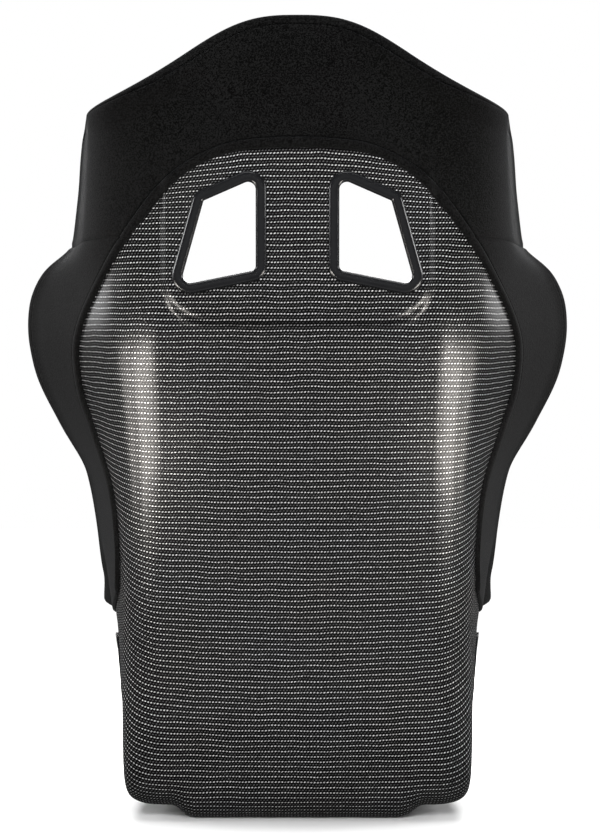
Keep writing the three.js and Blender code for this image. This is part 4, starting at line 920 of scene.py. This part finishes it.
# Pads reach from start to end along the face and from low to high across it. end is a function of u, low
# and high are functions of run. cap limits how far the cloth simulation may move them.
BESIDE_ROLL, BEYOND_ROLL = ROLL_LIP + 3, ROLL_LIP + 8
PADS = {
    "torso_bolster": dict(start=run_at(rim_z, 322), end=constant(RUN_SEAM - 8), low=constant(1.3),
                          high=inside_rim(BESIDE_ROLL), thick=30, cap=5.0),
    "thigh_bolster": dict(start=34.0, end=constant(RUN_CORNER - 96), low=constant(2.37),
                          high=inside_rim(13), thick=13, cap=2.0),
    "head_wing_pad": dict(start=RUN_SEAM + 8, end=constant(RUN_END - 2.9 * BEYOND_ROLL), low=constant(1.3),
                          high=inside_rim(BESIDE_ROLL), thick=22, cap=4.0),
    "headrest_pad": dict(start=RUN_PLATEAU_TOP + 2, low=constant(-1.2), high=constant(1.2), thick=30, cap=6.0,
                         end=lambda u: RUN_END - BEYOND_ROLL * (1 + 1.1 * np.abs(u))),
    "back_cushion": dict(start=run_at(mid_z, 112), end=constant(RUN_BACK_TOP - 6), low=constant(-1.12),
                         high=constant(1.12), thick=34, cap=7.0, channels=4),
    "seat_cushion": dict(start=8.0, end=constant(RUN_CORNER - 4), low=constant(-1.5),
                         high=constant(1.5), thick=44, cap=8.0, channels=2),
}
DRAW_IN = 5.0
START_SPREAD, START_FILL = 0.985, 0.94  # shares of the pad's spread and thickness before it swells


def pad_place(pad, sign, a, b):
    """The (run, u) of a pad's shares a (along) and b (across)."""
    draw = DRAW_IN * (1 - (2 * b - 1) ** 2)
    end = pad["end"](lerp(pad["low"](pad["start"]), pad["high"](pad["start"]), b))
    run = lerp(pad["start"] + draw, end - draw, a)
    return run, sign * lerp(pad["low"](run), pad["high"](run), b)


def start_body(name, pad, sign):
    """The pad before it swells: a crown over the shell's inner face."""
    a, b = np.meshgrid(np.linspace(0, 1, 41), np.linspace(0, 1, 31), indexing="ij")
    run, u = pad_place(pad, sign, lerp(0.5, a, START_SPREAD), lerp(0.5, b, START_SPREAD))
    crown = (1 - np.abs(2 * a - 1) ** 3) * (1 - np.abs(2 * b - 1) ** 3)
    height = (PAD_EDGE + (pad["thick"] - PAD_EDGE) * crown) * START_FILL
    upper = base(run, u) - normal(run, u) * (THICK + GAP + height)[..., None]
    lower = base(run, u) - normal(run, u) * (THICK + GAP + 0.4)
    return plate(name, upper, lower)


def read_points(obj):
    flat = np.empty(3 * len(obj.data.vertices))
    obj.data.vertices.foreach_get("co", flat)
    return flat.reshape(-1, 3) * 1000 - np.array([0, SHIFT_Y, 0])


def write_points(obj, points):
    obj.data.vertices.foreach_set("co", to_packed(points).ravel())
    obj.data.update()


def pad_shares(pad, sign, points):
    """For each point: the pad's shares a and b nearest to it, its height over the shell and the way off it."""
    a, b = np.meshgrid(np.linspace(0, 1, 121), np.linspace(0, 1, 91), indexing="ij")
    run, u = pad_place(pad, sign, a, b)
    out = -normal(run, u)
    feet = base(run, u) + out * (THICK + GAP)
    middle = feet + out * 10
    tree = KDTree(a.size)
    for k, spot in enumerate(middle.reshape(-1, 3)):
        tree.insert(spot, k)
    tree.balance()
    nearest = np.array([tree.find(p)[1] for p in points])
    flat_out = out.reshape(-1, 3)[nearest]
    height = np.sum((points - feet.reshape(-1, 3)[nearest]) * flat_out, axis=1)
    return a.ravel()[nearest], b.ravel()[nearest], height, flat_out


VOXEL = 0.0055  # metres
CLOTH_FRAMES = 20
CLOTH = dict(quality=5, mass=0.3, tension_stiffness=12, compression_stiffness=12, shear_stiffness=6,
             bending_stiffness=0.4, use_pressure=True, uniform_pressure_force=4.0, vertex_group_mass="held")
SIDEWAYS_SHARE = 0.25  # of the simulated movement along the face that is kept


def simulate(obj, free):
    """Blows the pad up as a cloth skin under pressure, held where free is 0."""
    group = obj.vertex_groups.new(name="held")
    held = np.round(1 - free, 1)
    for weight in np.unique(held):
        group.add(np.nonzero(held == weight)[0].tolist(), float(weight), "REPLACE")
    cloth = obj.modifiers.new("cloth", "CLOTH")
    for key, value in CLOTH.items():
        setattr(cloth.settings, key, value)
    cloth.settings.effector_weights.gravity = 0
    cloth.collision_settings.use_collision = False
    cloth.collision_settings.use_self_collision = False
    for number in range(1, CLOTH_FRAMES + 1):
        scene.frame_set(number)
    apply_modifiers(obj)
    scene.frame_set(1)


def swell(obj, pad, sign):
    """Fills the pad like foam under cloth: pressure from inside, with the foot held by the shell."""
    remesh = obj.modifiers.new("voxels", "REMESH")
    remesh.mode = "VOXEL"
    remesh.voxel_size = VOXEL
    apply_modifiers(obj)
    start = read_points(obj)
    _, _, height, out = pad_shares(pad, sign, start)
    free = smooth(height, 2.0, 9.0)
    cap = pad["cap"]
    simulate(obj, free)
    move = read_points(obj) - start
    length = np.linalg.norm(move, axis=1)
    limited = cap * np.tanh(length / cap)
    move = move * (limited / np.maximum(length, 1e-6) * free)[:, None]
    sideways = move - out * np.sum(move * out, axis=1)[:, None]
    move = move - sideways * (1 - SIDEWAYS_SHARE)
    write_points(obj, start + move)
    divide = obj.modifiers.new("divide", "SUBSURF")
    divide.levels = 1
    apply_modifiers(obj)


# A share of the thickness, millimetres, and a share of the length
CHANNEL_DEPTH, CHANNEL_HALF, CHANNEL_BOW = 0.34, 7.5, 0.03
RIPPLE = 0.35


def sew(obj, pad, sign):
    """Draws in the sewn channels and makes the cloth between them a little uneven."""
    points = read_points(obj)
    a, b, height, out = pad_shares(pad, sign, points)
    top = smooth(height, 4, 12)
    drop = np.zeros(len(points))
    length = pad["end"](0.0) - pad["start"]
    channels = pad.get("channels", 0)
    for k in range(channels):
        line = (k + 1) / (channels + 1)
        bow = CHANNEL_BOW * (1 - (2 * b - 1) ** 2)
        away = (a - line - bow * (0.5 - line)) * length
        groove = np.exp(-np.abs(away / CHANNEL_HALF) ** 1.4)
        drop += pad["thick"] * CHANNEL_DEPTH * groove * smooth(np.minimum(b, 1 - b), 0, 0.07)
    if channels:
        drop += RIPPLE * np.sin(b * 37 + a * 9) * np.sin(a * 23 + 2.0) * top
    drop = np.minimum(drop, np.maximum(height - 6, 0))
    write_points(obj, points - out * (drop * top)[:, None])
    obj.data.shade_smooth()


def edge_path(pad, sign, height):
    """A closed path round the pad, at a height over the inner face, with the way off the face."""
    t, zero, one = np.linspace(0, 1, 60), np.zeros(60), np.ones(60)
    a = np.concatenate([t, one[1:], t[::-1][1:], zero[1:]])
    b = np.concatenate([zero, t[1:], one[1:], t[::-1][1:]])
    run, u = pad_place(pad, sign, a, b)
    up = -normal(run, u)
    return np.hstack([base(run, u) + up * (THICK + GAP + height), up])


PATH_STEP, PATH_WINDOW = 2.0, 7  # mm, and steps on each side of the moving average


def round_corners(path):
    """Points and ways of a closed path, with its corners softened by a moving average."""
    at = distances(path)
    packed = even(path, at, int(round(at[-1] / PATH_STEP)) + 1)[:-1]
    kernel = np.ones(2 * PATH_WINDOW + 1) / (2 * PATH_WINDOW + 1)
    wrapped = np.vstack([packed[-PATH_WINDOW:], packed, packed[:PATH_WINDOW]])
    soft = np.stack([np.convolve(column, kernel, mode="valid") for column in wrapped.T], -1)
    return soft[:, :3], unit(soft[:, 3:])


PIPING_RADIUS, PIPING_LIFT = 2.1, 0.5


def piping(name, pad, sign, body):
    points, ups = round_corners(edge_path(pad, sign, PAD_EDGE + PIPING_LIFT))
    tangent = unit(np.roll(points, -1, axis=0) - np.roll(points, 1, axis=0))
    side = unit(np.cross(tangent, ups))
    up = np.cross(side, tangent)
    angle = np.linspace(0, 2 * math.pi, 8, endpoint=False)[None, :, None]
    loops = points[:, None] + PIPING_RADIUS * (np.cos(angle) * side[:, None] + np.sin(angle) * up[:, None])
    obj = tube(name, loops, closed=True)
    obj.data.shade_smooth()
    dress(obj, PAD_CLOTH, body, "fabric")


def make_pad(node, kind, sign, body, cloth, cut=None):
    pad = PADS[kind]
    obj = start_body(f"{node}_cloth", pad, sign)
    swell(obj, pad, sign)
    sew(obj, pad, sign)
    if cut is not None:
        cut_with(obj, cut)
        soften(obj, 50)
    dress(obj, cloth, body, "fabric", node)
    piping(f"{node}_piping", pad, sign, body)


for side_name, side_sign in SIDES:
    for kind in ("torso_bolster", "thigh_bolster", "head_wing_pad"):
        make_pad(f"{kind}_{side_name}", kind, side_sign, "seat", PAD_CLOTH)
make_pad("headrest_pad", "headrest_pad", 1, "seat", PAD_CLOTH)
make_pad("back_cushion", "back_cushion", 1, "back_pad", CUSHION_CLOTH)
crotch_cutter = prism(slot_outline(CROTCH_SLOT, 11), CROTCH, -30, 120)
make_pad("seat_cushion", "seat_cushion", 1, "seat_pad", CUSHION_CLOTH, crotch_cutter)

# ---- Belt-slot frames ----

SKIRT_DEPTH, CREASE = 3.0, 0.35


def frame_section():
    """Closed section of a frame: (inset from the outer outline, height over the panel)."""
    face, inner = BEZEL_FACE, BEZEL_FACE - BEZEL_WALL
    depth = THICK + GAP + SMALL_BEZEL_RISE
    foot, bend = BEZEL_RISE - BEZEL_CHAMFER - CREASE, BEZEL_RISE - BEZEL_CHAMFER + CREASE * 0.2
    brow = BEZEL_RISE - CREASE * 0.4
    return [
        (0.0, -SKIRT_DEPTH), (0.0, foot), (CREASE * 0.4, bend), (BEZEL_CHAMFER - CREASE, brow),
        (BEZEL_CHAMFER + CREASE * 0.6, BEZEL_RISE), (face / 2, BEZEL_RISE + 0.12),
        (face - BEZEL_CHAMFER - CREASE * 0.6, BEZEL_RISE), (face - BEZEL_CHAMFER + CREASE, brow),
        (face - CREASE * 0.3, bend), (face, foot), (face, -depth), (face - BEZEL_WALL * 0.5, -depth - 0.3),
        (inner, -depth), (inner, -SKIRT_DEPTH),
    ]


def make_shoulder_bezel(name, sign):
    loops = [placed(shoulder_outline(sign, inset), height, PLATEAU) for inset, height in frame_section()]
    obj = tube(f"shoulder_frame_{name}", np.array(loops).transpose(1, 0, 2), closed=True)
    soften(obj, 50)
    dress(obj, PLASTIC, "seat", "plastic", f"shoulder_bezel_rear_{name}")


for side_name, side_sign in SIDES:
    make_shoulder_bezel(side_name, side_sign)

# ---- Pieces whose solids already have the right shape ----


def refinish(material, *names):
    for name in names:
        obj = frame["nodes"][name]
        for part in [obj] if obj.type == "MESH" else obj.children_recursive:
            if part.type == "MESH" and part.material_slots:
                part.material_slots[0].material = material


for side_name, _ in SIDES:
    for kind in ("shoulder_bezel_front", "lap_bezel_outer", "lap_bezel_inner"):
        refinish(PLASTIC, f"{kind}_{side_name}")
    refinish(RUBBER, f"edge_trim_{side_name}")
    refinish(ALUMINIUM, f"mount_plate_{side_name}")
    refinish(STEEL, f"mount_insert_rear_{side_name}", f"mount_insert_front_{side_name}")
refinish(PLASTIC, "crotch_bezel_lower", "crotch_bezel_upper")
for cushion, places in (("back", ("lower", "upper")), ("seat", ("left", "right"))):
    for place in places:
        refinish(TAPE, f"{cushion}_hook_strip_{place}", f"{cushion}_loop_strip_{place}")

# ---- Studio ----

FLOOR_HALF = 40.0


def make_floor():
    """White paper that only the camera sees. It isn't mirrored in the shell and sends no light back."""
    mesh = bpy.data.meshes.new("floor")
    corners = [(x * FLOOR_HALF, y * FLOOR_HALF, 0) for x, y in ((-1, -1), (1, -1), (1, 1), (-1, 1))]
    mesh.from_pydata(corners, [], [(0, 1, 2, 3)])
    obj = add_object("floor", mesh)
    mesh.materials.append(Nodes("floor_paper").set(color=grey(0.94), rough=0.95, spec=0.0))
    obj.visible_glossy = obj.visible_diffuse = False


def make_world():
    """White behind the seat, and a dim even light from all round."""
    world = bpy.data.worlds.new("studio")
    world.use_nodes = True
    tree = world.node_tree
    background = tree.nodes["Background"]
    backdrop = tree.nodes.new("ShaderNodeBackground")
    mix = tree.nodes.new("ShaderNodeMixShader")
    path = tree.nodes.new("ShaderNodeLightPath")
    tree.links.new(path.outputs["Is Camera Ray"], mix.inputs[0])
    for number, node, strength in ((1, background, 0.1), (2, backdrop, 1.0)):
        node.inputs[0].default_value = (1, 1, 1, 1)
        node.inputs[1].default_value = strength
        tree.links.new(node.outputs[0], mix.inputs[number])
    tree.links.new(mix.outputs[0], tree.nodes["World Output"].inputs[0])
    scene.world = world


def area_light(name, place, target, size, power, color=(1, 1, 1), diffuse=True, gloss=True):
    """An area light that faces a target, for dull or glossy reflections or both."""
    light = bpy.data.lights.new(name, "AREA")
    light.shape = "RECTANGLE"
    light.size, light.size_y = size
    light.energy = power
    light.color = color
    obj = add_object(name, light)
    obj.location = place
    obj.visible_diffuse, obj.visible_glossy = diffuse, gloss
    obj.visible_camera = False
    obj.rotation_euler = (Vector(target) - Vector(place)).to_track_quat("-Z", "Y").to_euler()


def sun_light(power, turn):
    light = bpy.data.lights.new("overhead", "SUN")
    light.energy = power
    light.angle = math.radians(60)
    add_object("overhead", light).rotation_euler = turn


def side_cards(name, sign):
    """Small lights beside the waist and the shoulder that only show as shine."""
    low, side, high = (sign * 0.44, 0.54, 0.27), (sign * 0.6, 0.3, 0.32), (sign * 1.0, 0.35, 0.85)
    area_light(f"low_{name}", low, (sign * 0.16, 0.26, 0.48), (0.36, 0.12), 4.2, WARM, diffuse=False)
    area_light(f"side_{name}", side, (sign * 0.19, 0.22, 0.48), (0.22, 0.12), 1.1, WARM, diffuse=False)
    area_light(f"strip_{name}", high, (0, 0.28, 0.68), (0.3, 0.3), 4, diffuse=False)


# Camera of the photograph: behind the seat at the height of the waist, looking up a little
CAMERA_Y, CAMERA_HEIGHT, CAMERA_PITCH = 2981.0, 354.5, 0.03342
PICTURE_HEIGHT, FOCAL_LENGTH, MIDDLE_SHIFT = 838, 2643.3, 2.5  # in the photograph's pixels
SENSOR = 36.0


def make_camera():
    camera = bpy.data.cameras.new("camera")
    camera.sensor_width = SENSOR
    camera.lens = SENSOR * (FOCAL_LENGTH / PICTURE_HEIGHT)
    camera.shift_x = MIDDLE_SHIFT / PICTURE_HEIGHT
    obj = add_object("camera", camera)
    obj.location = to_packed((0, CAMERA_Y, CAMERA_HEIGHT))[0]
    obj.rotation_euler = (math.radians(90) + CAMERA_PITCH, 0, math.radians(180))
    scene.camera = obj


WARM = (1, 0.95, 0.89)
make_floor()
make_world()
sun_light(3.15, (0.12, 0, 0))
for side_name, side_sign in SIDES:
    side_cards(side_name, side_sign)
area_light("bounce", (0, 1.0, 0.02), (0, 1.0, 1.0), (0.6, 1.3), 0.8, diffuse=False)
area_light("card", (0, 3.3, 0.55), (0, 0.1, 0.5), (1.4, 0.7), 1.2, diffuse=False)
area_light("key", (0, 3.3, 1.2), (0, 0.1, 0.45), (1.6, 1.0), 140, gloss=False)
area_light("front", (0, -2.6, 1.9), (0, 0, 0.4), (2.2, 1.6), 150)
for side_name, side_sign in SIDES:
    area_light(f"fill_{side_name}", (side_sign * 2.4, -0.9, 1.1), (0, -0.1, 0.4), (1.4, 1.4), 40)
make_camera()
scene.view_settings.view_transform = "Standard"
